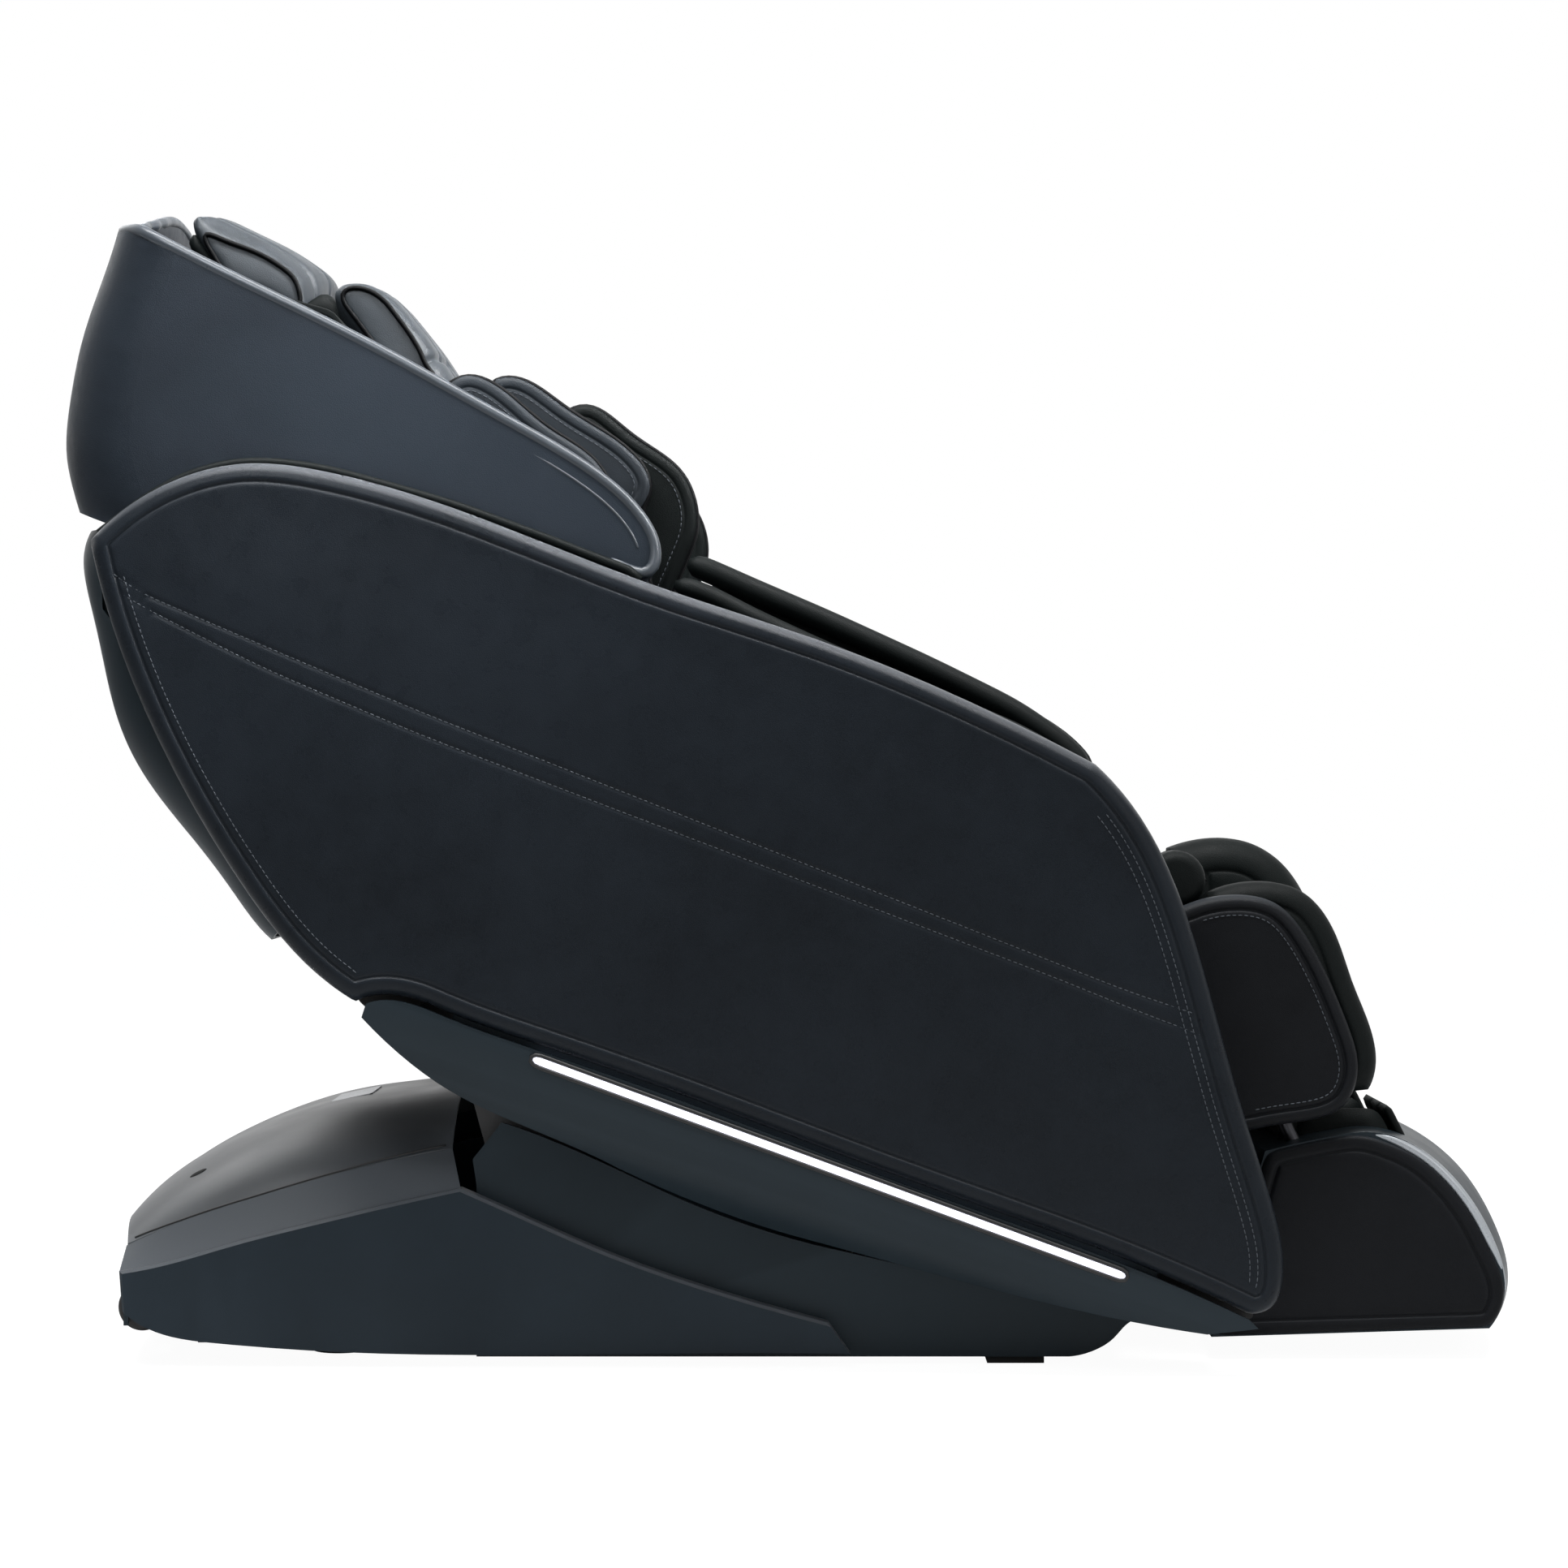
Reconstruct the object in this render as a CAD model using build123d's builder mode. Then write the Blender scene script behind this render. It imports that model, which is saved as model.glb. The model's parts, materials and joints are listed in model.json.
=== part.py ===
"""Massage chair with a rolling back carriage, tilting seat, reclining back and rising, extending leg rest.

Millimetres. X runs forward to the feet, Y to the sitter's left, Z up. Sizes are laid out from a line just behind
the middle of the seat, and each piece is moved by MIDDLE_X as it is written, so the origin of the files is on the
floor under the middle of the chair. Right-hand pieces are drawn first; the left-hand ones are mirror images.
"""

import os
from math import cos, radians, sin

from build123d import *

# ---------------------------------------------------------------- driving dimensions
PANEL_OUT = 386  # outer face of the side panels, from the middle plane
PANEL_IN = 364
SHELL_OUT = 357  # side walls of the back shell, inside the side panels
SHELL_WALL = 9
REAR_COVER_OUT = 332  # rear cover, inside the shell walls
ARM_IN = 250  # inner face of the armrests
SEAT_HALF = 232  # half width of the seat cushion
BACK_HALF = 196  # half width of the back pad
CALF_OUT = 278  # outer faces of the calf unit
FOOT_HALF = 256  # half width of the foot unit
LID_HALF = 266  # half width of the base lid
BASE_OUT = 312  # outer faces of the rear base covers
PEDESTAL_HALF = 290

TILT_PIVOT = (-280, 220)  # seat on base
HIP_PIVOT = (-60, 560)  # back on seat
KNEE_PIVOT = (410, 500)  # calf unit on seat
BACK_ANGLE = 55  # lean of the back from the floor
LEG_ANGLE = 26.6  # lean of the leg rest slide from the vertical

PIN = 12  # diameter of the pivot pins
PIN_FIT = 0.05  # radial clearance of a pin in its lug
TUBE = 30  # square frame tube

MIDDLE_X = 23  # middle of the overall length, ahead of the line that sizes are laid out from

# The back is laid out along its own slope: s runs up the pad, n out of its face.
BACK_FOOT = (30, 480)
UP_BACK = (-cos(radians(BACK_ANGLE)), sin(radians(BACK_ANGLE)))
OUT_BACK = (sin(radians(BACK_ANGLE)), cos(radians(BACK_ANGLE)))

os.makedirs("parts", exist_ok=True)


# ---------------------------------------------------------------- helpers
def trace(start, *stretches):
    """Draws a closed side outline: a stretch of one point is a line, a longer one is a smooth curve."""
    here = start
    for points in stretches:
        if len(points) == 1:
            Line(here, points[0])
        else:
            Spline(here, *points)
        here = points[-1]
    if here != start:
        Line(here, start)


def on_back(s, n):
    """The side-view point at a height s up the back pad and n out of its face."""
    return (
        BACK_FOOT[0] + UP_BACK[0] * s + OUT_BACK[0] * n,
        BACK_FOOT[1] + UP_BACK[1] * s + OUT_BACK[1] * n,
    )


def slab(near, far, start, *stretches, soft=0):
    """A piece of one side outline between two distances to the right of the middle plane."""
    with BuildPart() as piece:
        with BuildSketch(Plane.XZ.offset(near)):
            with BuildLine():
                trace(start, *stretches)
            make_face()
        extrude(amount=far - near)
        if soft:
            ends = piece.faces().filter_by(Axis.Y)
            fillet(ends.edges(), soft)
    return piece.part


def save(piece, name):
    """Moves one finished piece onto the origin of the files, labels it and writes it."""
    placed = Pos(-MIDDLE_X, 0, 0) * piece
    placed.label = name
    export_step(placed, f"parts/{name}.step")


def save_pair(piece, name):
    """Writes a right-hand piece and its left-hand mirror image."""
    save(piece, f"right_{name}")
    save(mirror(piece, about=Plane.XZ), f"left_{name}")


def group(*pieces):
    """Separate solids that share one node."""
    solids = []
    for piece in pieces:
        solids += piece.solids()
    return Compound(solids)


# ---------------------------------------------------------------- base
BASE_TUBE_Y = 220
BASE_CROSS = (-600, -280, 60, 270)
TUBE_BOTTOM = 14  # the tubes lie on the floor of the pedestal shell
POST_TOP = 238
TILT_PIN = (100, 75)  # foot of the tilt actuator
ACTUATOR_GAP = 32  # between the cheeks that hold an actuator
CHEEK = 6
WHEEL_AXLE = (-668, 56)
WHEEL_R = 25
FOOT_R = 30


def lug(near, far, pin, root, width, hole=0.0):
    """A bar from a root point to a rounded end with a pin hole."""
    middle = ((pin[0] + root[0]) / 2, (pin[1] + root[1]) / 2)
    run = Vector(pin[0] - root[0], pin[1] - root[1])
    turn = Vector(1, 0).get_signed_angle(run, Vector(0, 0, 1))
    with BuildPart() as piece:
        with BuildSketch(Plane.XZ.offset(near)):
            with Locations(middle):
                Rectangle(run.length, width, rotation=turn)
            with Locations(pin):
                Circle(width / 2)
                if hole:
                    Circle(hole / 2, mode=Mode.SUBTRACT)
        extrude(amount=far - near)
    return piece.part


def pivot_pin(head_face, tip, point, diameter=PIN):
    """A headed pin across the chair: the head lies outside head_face, and the shank reaches tip."""
    away = 1 if head_face > tip else -1
    with BuildPart() as pin:
        with BuildSketch(Plane.XZ.offset(head_face)):
            with Locations(point):
                Circle(diameter / 2)
        extrude(amount=tip - head_face)
        with BuildSketch(Plane.XZ.offset(head_face)):
            with Locations(point):
                Circle(diameter / 2 + 4)
        extrude(amount=away * 4.5)
    return pin.part


PIN_HOLE = PIN + 2 * PIN_FIT
POST_IN = BASE_TUBE_Y - TUBE / 2
POST_OUT = BASE_TUBE_Y + TUBE / 2
tube_mid = TUBE_BOTTOM + TUBE / 2
frame_length = BASE_CROSS[-1] - BASE_CROSS[0] + TUBE
frame_middle = (BASE_CROSS[-1] + BASE_CROSS[0]) / 2
wheel_arm_y = 236

with BuildPart() as base_frame:
    with Locations((frame_middle, BASE_TUBE_Y, tube_mid), (frame_middle, -BASE_TUBE_Y, tube_mid)):
        Box(frame_length, TUBE, TUBE)
    with Locations(*[(x, 0, tube_mid) for x in BASE_CROSS]):
        Box(TUBE, 2 * POST_IN, TUBE)
    post_height = POST_TOP - TUBE_BOTTOM - TUBE
    for side in (-1, 1):
        with Locations((TILT_PIVOT[0], side * BASE_TUBE_Y, POST_TOP - post_height / 2)):
            Box(TUBE, TUBE, post_height)
    with BuildSketch(Plane.XZ.offset(-POST_OUT)):
        with Locations(TILT_PIVOT):
            Circle(PIN_HOLE / 2)
    extrude(amount=2 * POST_OUT, mode=Mode.SUBTRACT)
    for near in (-ACTUATOR_GAP / 2 - CHEEK, ACTUATOR_GAP / 2):
        add(lug(near, near + CHEEK, TILT_PIN, (BASE_CROSS[2], 52), 34, PIN_HOLE))
    for near in (wheel_arm_y - 6, -wheel_arm_y):
        add(lug(near, near + 6, WHEEL_AXLE, (BASE_CROSS[0], 36), 26, 8.1))
save(base_frame.part, "base_frame")

ACTUATOR_HEAD = ACTUATOR_GAP / 2 + CHEEK  # head face of an actuator pin, from the actuator's middle

# Transport wheels at the rear corners, just off the floor until the chair is tipped back.
wheel_in = wheel_arm_y + 1
wheel_out = BASE_OUT - 44
with BuildPart() as right_transport_wheel:
    with BuildSketch(Plane.XZ.offset(wheel_in)):
        with Locations(WHEEL_AXLE):
            Circle(WHEEL_R)
            Circle(4.05, mode=Mode.SUBTRACT)
    extrude(amount=wheel_out - wheel_in)
    circles = right_transport_wheel.edges().filter_by(GeomType.CIRCLE)
    rims = circles.filter_by(lambda e: e.radius > WHEEL_R - 1)
    fillet(rims, 4)
save_pair(right_transport_wheel.part, "transport_wheel")

# Headed pins: seat pivots, wheel axles and the foot of the tilt actuator.
with BuildPart() as base_pins:
    for side in (-1, 1):
        add(pivot_pin(side * POST_IN, side * (POST_OUT + 10), TILT_PIVOT))
        add(pivot_pin(side * (wheel_arm_y - 6), side * (wheel_out + 3), WHEEL_AXLE, 8))
    add(pivot_pin(ACTUATOR_HEAD, -ACTUATOR_HEAD - 2, TILT_PIN))
save(group(base_pins.part), "base_pins")

# Rubber feet: a front pair under the pedestal and a rear pair under the long tubes.
with BuildPart() as rubber_feet:
    for side in (-1, 1):
        with Locations((240, side * 262, 4)):
            Box(59, 40, 8)
        with BuildSketch():
            with Locations((-470, side * BASE_TUBE_Y * 0.86)):
                Circle(FOOT_R)
        extrude(amount=TUBE_BOTTOM)
save(group(rubber_feet.part), "rubber_feet")

# Pedestal: a wide moulded shell under the seat body, open on top for the actuators.
PEDESTAL_BOTTOM = 8
PEDESTAL_WALL = 6
with BuildPart() as pedestal_shell:
    with BuildSketch(Plane.XZ.offset(-PEDESTAL_HALF)):
        with BuildLine():
            trace(
                (-318, PEDESTAL_BOTTOM),
                [(-318, 186)],
                [(-322, 212)],
                [(-306, 232), (-292, 250)],
                [(-170, 200), (-96, 166), (-10, 135), (60, 117)],
                [(362, 46)],
                [(354, 41), (341, 27), (320, 14), (295, PEDESTAL_BOTTOM)],
            )
        make_face()
    extrude(amount=2 * PEDESTAL_HALF)
    hollow = 2 * (PEDESTAL_HALF - PEDESTAL_WALL)
    with BuildSketch(Plane.XZ.offset(-hollow / 2)):
        with BuildLine():
            Polyline(
                (-330, PEDESTAL_BOTTOM + PEDESTAL_WALL),
                (-330, 300),
                (500, 300),
                (320, 60),
                (306, PEDESTAL_BOTTOM + PEDESTAL_WALL),
                close=True,
            )
        make_face()
    extrude(amount=hollow, mode=Mode.SUBTRACT)
save(pedestal_shell.part, "pedestal_shell")

# Base lid: a crowned sheet over the rear of the base. Each station is (x, height in the middle, at the seam).
LID_STATIONS = (
    (-706, 129, 111),
    (-676, 166, 125),
    (-631, 197, 143),
    (-547, 235, 171),
    (-455, 258, 197),
    (-345, 279, 221),
)
LID_WALL = 5
APRON_BOW = 22  # how far the rear edge bows out in plan
APRON_SIDE_X = -683
CROWN_STEPS = (0.0, 0.55, 0.85, 1.0)  # places across the lid, as parts of its half width


def crown(middle, seam, drop=0.0):
    """The flat-topped curve across the lid, as points from right to left."""
    half = []
    for step in CROWN_STEPS:
        half.append((step * LID_HALF, seam + (middle - seam) * (1 - step**4) - drop))
    return [(-y, z) for y, z in reversed(half[1:])] + half


LID_SLOPE = Vector(cos(radians(12)), 0, sin(radians(12)))  # of the lid under the badge plate
badge_plane = Plane(origin=(-476, 0, 253.5), x_dir=LID_SLOPE, z_dir=LID_SLOPE.cross(Vector(0, 1, 0)))
with BuildPart() as base_lid:
    for x, middle, seam in LID_STATIONS:
        with BuildSketch(Plane.YZ.offset(x)):
            with BuildLine():
                over = crown(middle, seam)
                under = crown(middle, seam, LID_WALL)
                Spline(*over)
                Line(over[-1], under[-1])
                Spline(*under)
                Line(under[0], over[0])
            make_face()
    loft()
    with BuildSketch():
        with BuildLine():
            ThreePointArc(
                (APRON_SIDE_X, -LID_HALF), (APRON_SIDE_X - APRON_BOW, 0), (APRON_SIDE_X, LID_HALF)
            )
            Polyline((APRON_SIDE_X, LID_HALF), (-345, LID_HALF), (-345, -LID_HALF), (APRON_SIDE_X, -LID_HALF))
        make_face()
    extrude(amount=400, mode=Mode.INTERSECT)
    with BuildSketch(badge_plane):
        Rectangle(46, 100)
    extrude(amount=6, mode=Mode.SUBTRACT)
save(base_lid.part, "base_lid")

with BuildPart() as badge_plate:
    with BuildSketch(badge_plane):
        RectangleRounded(46, 100, 3)
    extrude(amount=1.6)
save(badge_plate.part, "badge_plate")

# Rear side covers: a bevelled shoulder from the lid seam down to an upright side.
BEVEL_WALL = 6
SEAM_LINE = [(-684, 120), (-631, 143), (-547, 171), (-455, 197), (-345, 221)]
SHOULDER_LINE = [(-684, 99), (-637, 108), (-567, 128), (-485, 149), (-401, 169), (-333, 184)]


def strip(line, thickness):
    """A thin closed band hanging under a curve."""
    lower = [(x, z - thickness) for x, z in reversed(line)]
    Spline(*line)
    Line(line[-1], lower[0])
    Spline(*lower)
    Line(lower[-1], line[0])


with BuildPart() as right_base_cover:
    for offset_y, line in ((LID_HALF + 0.6, SEAM_LINE), (BASE_OUT - 6, SHOULDER_LINE)):
        with BuildSketch(Plane.XZ.offset(offset_y)):
            with BuildLine():
                strip(line, BEVEL_WALL)
            make_face()
    loft(ruled=True)
    with BuildSketch(Plane.XZ.offset(PEDESTAL_HALF)):
        with BuildLine():
            trace(
                (-684, 99),
                SHOULDER_LINE[1:],
                [(-270, 156), (-183, 118), (-97, 87), (-11, 61), (45, 46)],
                [(68, 14)],
                [(-272, 13), (-457, 16), (-584, 25), (-647, 37), (-681, 58)],
            )
        make_face()
    extrude(amount=BASE_OUT - PEDESTAL_HALF)
    outer = right_base_cover.faces().sort_by(Axis.Y)[0]
    chamfer(outer.edges().sort_by(Axis.Z)[-3:], 3)
save_pair(right_base_cover.part, "base_cover")

# Rear apron with a window for the mains inlet.
INLET_Y = -120
INLET_SIZE = (90, 36)
INLET_Z = 80
APRON_BOTTOM = 40
APRON_HALF = PEDESTAL_HALF - 0.1
with BuildPart() as rear_apron:
    with BuildSketch(Plane.XY.offset(APRON_BOTTOM)):
        with BuildLine():
            ThreePointArc(
                (APRON_SIDE_X, -APRON_HALF), (APRON_SIDE_X - APRON_BOW, 0), (APRON_SIDE_X, APRON_HALF)
            )
            Line((APRON_SIDE_X, APRON_HALF), (APRON_SIDE_X + 5, APRON_HALF))
            ThreePointArc(
                (APRON_SIDE_X + 5, APRON_HALF), (APRON_SIDE_X - APRON_BOW + 5, 0), (APRON_SIDE_X + 5, -APRON_HALF)
            )
            Line((APRON_SIDE_X + 5, -APRON_HALF), (APRON_SIDE_X, -APRON_HALF))
        make_face()
    extrude(amount=62)
    with Locations((APRON_SIDE_X, INLET_Y, INLET_Z)):
        Box(80, *INLET_SIZE, mode=Mode.SUBTRACT)
    for side in (-1, 1):
        with Locations((APRON_SIDE_X, side * (wheel_in + wheel_out) / 2, APRON_BOTTOM)):
            Box(80, wheel_out - wheel_in + 8, 2 * (WHEEL_AXLE[1] + WHEEL_R + 4 - APRON_BOTTOM), mode=Mode.SUBTRACT)
save(rear_apron.part, "rear_apron")

ROCKER_Y = INLET_Y + 28
ROCKER_AXLE = (-692, INLET_Z)
with BuildPart() as mains_inlet:
    with Locations((-684, INLET_Y, INLET_Z)):
        Box(33, *INLET_SIZE)
    with Locations((-700, INLET_Y - 16, INLET_Z)):
        Box(34, 28, 20, mode=Mode.SUBTRACT)
    with Locations((-700, ROCKER_Y, INLET_Z)):
        Box(36, 17, 27, mode=Mode.SUBTRACT)
    with BuildSketch(Plane.XZ.offset(-ROCKER_Y - 11)):
        with Locations(ROCKER_AXLE):
            Circle(2.05)
    extrude(amount=22, mode=Mode.SUBTRACT)
save(mains_inlet.part, "mains_inlet")

with BuildPart() as power_switch:
    with BuildSketch(Plane.XZ.offset(-ROCKER_Y - 8)):
        with BuildLine():
            Polyline((-688, 70), (-700, 68.5), (-697, 80), (-700, 91.5), (-688, 90), close=True)
        make_face()
    extrude(amount=16)
    with BuildSketch(Plane.XZ.offset(-ROCKER_Y - 10.5)):
        with Locations(ROCKER_AXLE):
            Circle(2)
    extrude(amount=21)
save(power_switch.part, "power_switch")

with BuildPart() as power_supply:
    with Locations((-500, 0, TUBE_BOTTOM + TUBE + 35)):
        Box(210, 200, 70)
    fillet(power_supply.edges().filter_by(Axis.Z), 6)
save(power_supply.part, "power_supply")


# ---------------------------------------------------------------- seat body
SEAT_PLATE_IN = 238  # steel side plates of the seat frame
SEAT_PLATE_OUT = 244
SEAT_TUBE_Z = 375
SEAT_TUBES = (60, 330)
CASING_IN = max(FOOT_HALF, CALF_OUT - 22) + 30  # inner face of the casings, clear of the leg rest and foot unit
REAR_TUBE_HALF = 346
SEAT_PAN_Z = SEAT_TUBE_Z + TUBE / 2
SEAT_TOP = SEAT_PAN_Z + 3  # of the sheet under the cushion
TILT_HEAD = (150, 330)  # top pin of the tilt actuator
RECLINE_FOOT = (215, 315)  # barrel pin of the recline actuator
RECLINE_Y = 90  # right of the middle

seat_plate_outline = [
    (-306, 196),
    (-255, 196),
    (60, 330),
    (395, 330),
    (428, 486),
    (426, 518),
    (394, 518),
    (330, 412),
    (40, 412),
    (-34, 540),
    (-42, 584),
    (-78, 584),
    (-92, 540),
    (-200, 405),
    (-500, 560),
    (-540, 520),
    (-500, 459),
    (-335, 304),
]
with BuildPart() as seat_frame:
    with BuildSketch(Plane.XZ.offset(SEAT_PLATE_IN)) as plate_side:
        with BuildLine():
            Polyline(*seat_plate_outline, close=True)
        make_face()
        blunt = plate_side.vertices().filter_by(lambda v: v.X > -330)
        fillet(blunt, 7)
        with Locations(TILT_PIVOT, HIP_PIVOT, KNEE_PIVOT):
            Circle(PIN_HOLE / 2, mode=Mode.SUBTRACT)
    extrude(amount=SEAT_PLATE_OUT - SEAT_PLATE_IN)
    mirror(about=Plane.XZ)
    for x in SEAT_TUBES:
        with Locations((x, 0, SEAT_TUBE_Z)):
            Box(TUBE, 2 * CASING_IN, TUBE)
    with Locations((-225, 0, 275)):
        Box(TUBE, 2 * REAR_TUBE_HALF, TUBE)
    with Locations((205, 0, SEAT_PAN_Z + 1.5)):
        Box(350, 2 * SEAT_PLATE_IN, 3)
    beam = SEAT_TUBES[1] - SEAT_TUBES[0]
    for mid, pin in ((0, TILT_HEAD), (RECLINE_Y, RECLINE_FOOT)):
        with Locations((sum(SEAT_TUBES) / 2, -mid, SEAT_TUBE_Z)):
            Box(beam, ACTUATOR_GAP, TUBE)
        for near in (mid - ACTUATOR_GAP / 2 - CHEEK, mid + ACTUATOR_GAP / 2):
            add(lug(near, near + CHEEK, pin, (pin[0], SEAT_TUBE_Z), 28, PIN_HOLE))
save(seat_frame.part, "seat_frame")

with BuildPart() as seat_pins:
    for side in (-1, 1):
        for point in (HIP_PIVOT, KNEE_PIVOT):
            add(pivot_pin(side * SEAT_PLATE_OUT, side * (SEAT_PLATE_IN - 12), point))
    for mid, point in ((0, TILT_HEAD), (RECLINE_Y, RECLINE_FOOT)):
        add(pivot_pin(mid + ACTUATOR_HEAD, mid - ACTUATOR_HEAD - 2, point))
save(group(seat_pins.part), "seat_pins")

seat_cushion = slab(
    -SEAT_HALF,
    SEAT_HALF,
    (28, SEAT_TOP),
    [(30, 462)],
    [(110, 470), (240, 490), (345, 511), (382, 490)],
    [(386, 440), (376, SEAT_TOP)],
)
save(seat_cushion, "seat_cushion")

# Side panels: padded leather leaves with a rolled rim.
PANEL_REAR = [(-681, 765), (-633, 645), (-551, 502), (-475, 410), (-434, 380)]
PANEL_UNDER = [(-405, 387), (-379, 384), (-342, 370), (-254, 338)]
PANEL_UNDER += [(-119, 291), (121, 201), (348, 118), (470, 64)]
PANEL_FRONT = [(496, 74), (505, 108), (495, 171), (464, 270), (420, 427), (371, 550), (315, 620)]
PANEL_TOP = [(249, 654), (48, 741), (-142, 805), (-334, 879)]
PANEL_TOP += [(-463, 916), (-550, 924), (-626, 903), (-702, 846)]
PANEL_ROLL = 9
with BuildPart() as right_side_panel:
    with BuildSketch(Plane.XZ.offset(PANEL_IN)):
        with BuildLine():
            trace((-702, 846), PANEL_REAR, PANEL_UNDER, PANEL_FRONT, PANEL_TOP)
        make_face()
    extrude(amount=PANEL_OUT - PANEL_IN)
    rim = right_side_panel.faces().sort_by(Axis.Y)[0].edges()
    fillet(rim, PANEL_ROLL)
save_pair(right_side_panel.part, "side_panel")

# Lower trims: curved mouldings that run under the panels, with a flange behind each panel.
TRIM_START = Vector(-426, 0, 366)
TRIM_END = Vector(479, 0, 50)
TRIM_RUN = (TRIM_END - TRIM_START).normalized()
TRIM_ANGLE = -19.3  # of the trim from level, nose down
trim_plane = Plane(origin=TRIM_START, x_dir=(0, 1, 0), z_dir=TRIM_RUN)
TRIM_GAP = 5  # shadow gap under the panel
FLANGE_IN = PANEL_IN - 6
LIGHT_WIDTH = 12
LIGHT_ENDS = (Vector(-251, 322), Vector(342, 104))  # centres of the rounded ends of the light strip
light_run = LIGHT_ENDS[1] - LIGHT_ENDS[0]
light_middle = (LIGHT_ENDS[0] + LIGHT_ENDS[1]) * 0.5
light_turn = Vector(1, 0).get_signed_angle(light_run, Vector(0, 0, 1))
trim_top = [(x, z - TRIM_GAP) for x, z in PANEL_UNDER]


def light_bar(near, far):
    """The long round-ended bar of a light strip."""
    with BuildPart() as bar:
        with BuildSketch(Plane.XZ.offset(near)):
            with Locations((light_middle.X, light_middle.Y)):
                SlotCenterToCenter(light_run.length, LIGHT_WIDTH, rotation=light_turn)
        extrude(amount=far - near)
    return bar.part


with BuildPart() as right_lower_trim:
    with BuildSketch(trim_plane):
        with BuildLine():
            ThreePointArc((-383, 34), (-363, -36), (-300, -84))
            Line((-300, -84), (-296, -77))
            ThreePointArc((-296, -77), (-356, -32), (-375, 34))
            Line((-375, 34), (-383, 34))
        make_face()
    extrude(amount=(TRIM_END - TRIM_START).length)
    with BuildSketch(Plane.XZ.offset(250)):
        with BuildLine():
            trace(
                (-430, 374),
                trim_top,
                [(479, 50)],
                [(428, 43)],
                [(356, 54), (47, 128), (-10, 143), (-96, 174), (-170, 208)],
                [(-288, 262), (-337, 287), (-394, 331), (-428, 366)],
            )
        make_face()
    extrude(amount=150, mode=Mode.INTERSECT)
    with BuildSketch(Plane.XZ.offset(FLANGE_IN)):
        with Locations((18, 224)):
            Rectangle(760, 76, rotation=TRIM_ANGLE)
    extrude(amount=PANEL_IN - FLANGE_IN)
    add(light_bar(FLANGE_IN + 12, PANEL_OUT), mode=Mode.SUBTRACT)
save_pair(right_lower_trim.part, "lower_trim")
save_pair(light_bar(FLANGE_IN + 12, PANEL_OUT - 3), "light_strip")

# Armrests: a padded trough for each forearm.
ARM_TOP = [(-19, 799), (49, 771), (117, 746), (186, 717), (237, 689), (282, 664), (310, 641), (324, 618)]
CHANNEL_IN = ARM_IN + 38
CHANNEL_OUT = 334
ARM_OUT = PANEL_IN - 0.3
CASING_FRONT = [(360, 545), (396, 462), (440, 335), (470, 205), (489, 140)]
with BuildPart() as right_armrest:
    add(slab(ARM_IN, ARM_OUT, (-77, 822), ARM_TOP, [(350, 560), (358, 500)], [(330, 440)], [(-70, 520)]))
    add(slab(CASING_IN, FLANGE_IN - 0.5, (-77, 700), [(324, 500)], CASING_FRONT, [(470, 98)], [(-60, 284)]))
    channel = [(x, z - 95) for x, z in ARM_TOP]
    add(slab(CHANNEL_IN, CHANNEL_OUT, (-90, 740), channel, [(340, 900)], [(-90, 900)]), mode=Mode.SUBTRACT)
    outer_top = [(x, z - 44) for x, z in ARM_TOP]
    add(slab(CHANNEL_OUT - 1, ARM_OUT + 1, (-90, 784), outer_top, [(340, 900)], [(-90, 900)]), mode=Mode.SUBTRACT)
save_pair(right_armrest.part, "armrest")

# Rear cover: a curved sheet with rounded sides, inside the swing of the back shell, and two ribs for the frame.
COVER_REAR = [(-721, 862), (-727, 812), (-705, 712), (-663, 605), (-616, 544), (-561, 470), (-533, 438)]
COVER_WALL = 7
COVER_ROUND = 72


def cover_block(inset):
    """The rounded block behind the seat, drawn in from the outside of the rear cover by an inset."""
    with BuildPart() as block:
        for x, z in COVER_REAR:
            with BuildSketch(Plane.XY.offset(z)):
                with Locations(((x + inset) / 2, 0)):
                    RectangleRounded(-x - inset, 2 * (REAR_COVER_OUT - inset), COVER_ROUND - inset)
        loft()
    return block.part


with BuildPart() as rear_cover:
    add(cover_block(0))
    add(cover_block(COVER_WALL), mode=Mode.SUBTRACT)
    with BuildSketch(Plane.XZ.offset(-REAR_COVER_OUT)):
        with BuildLine():
            Polyline((-760, 862), (-760, 438), (-533, 438))
            Spline((-533, 438), (-508, 470), (-560, 560), (-608, 625), (-640, 705))
            Polyline((-640, 705), (-701, 780), (-701, 862), (-760, 862))
        make_face()
    extrude(amount=2 * REAR_COVER_OUT, mode=Mode.INTERSECT)
    for near in (-SEAT_PLATE_OUT - 16, SEAT_PLATE_IN):
        with BuildSketch(Plane.XZ.offset(near)):
            with BuildLine():
                Polyline((-500, 560), (-540, 520), (-592, 520), (-620, 558), (-634, 575), close=True)
            make_face()
        extrude(amount=22)
save(rear_cover.part, "rear_cover")

belly_cover = slab(-330, 330, (-500, 459), [(-335, 304)], [(-338, 301)], [(-503, 456)])
save(belly_cover, "belly_cover")

with BuildPart() as air_pump:
    with Locations((140, 160, SEAT_TUBE_Z - TUBE / 2 - 32)):
        Box(180, 110, 64)
    fillet(air_pump.edges().filter_by(Axis.Z), 12)
    with Locations((230, 135, SEAT_TUBE_Z - TUBE / 2 - 32), (230, 185, SEAT_TUBE_Z - TUBE / 2 - 32)):
        Cylinder(5, 24, rotation=(0, 90, 0))
save(air_pump.part, "air_pump")


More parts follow.
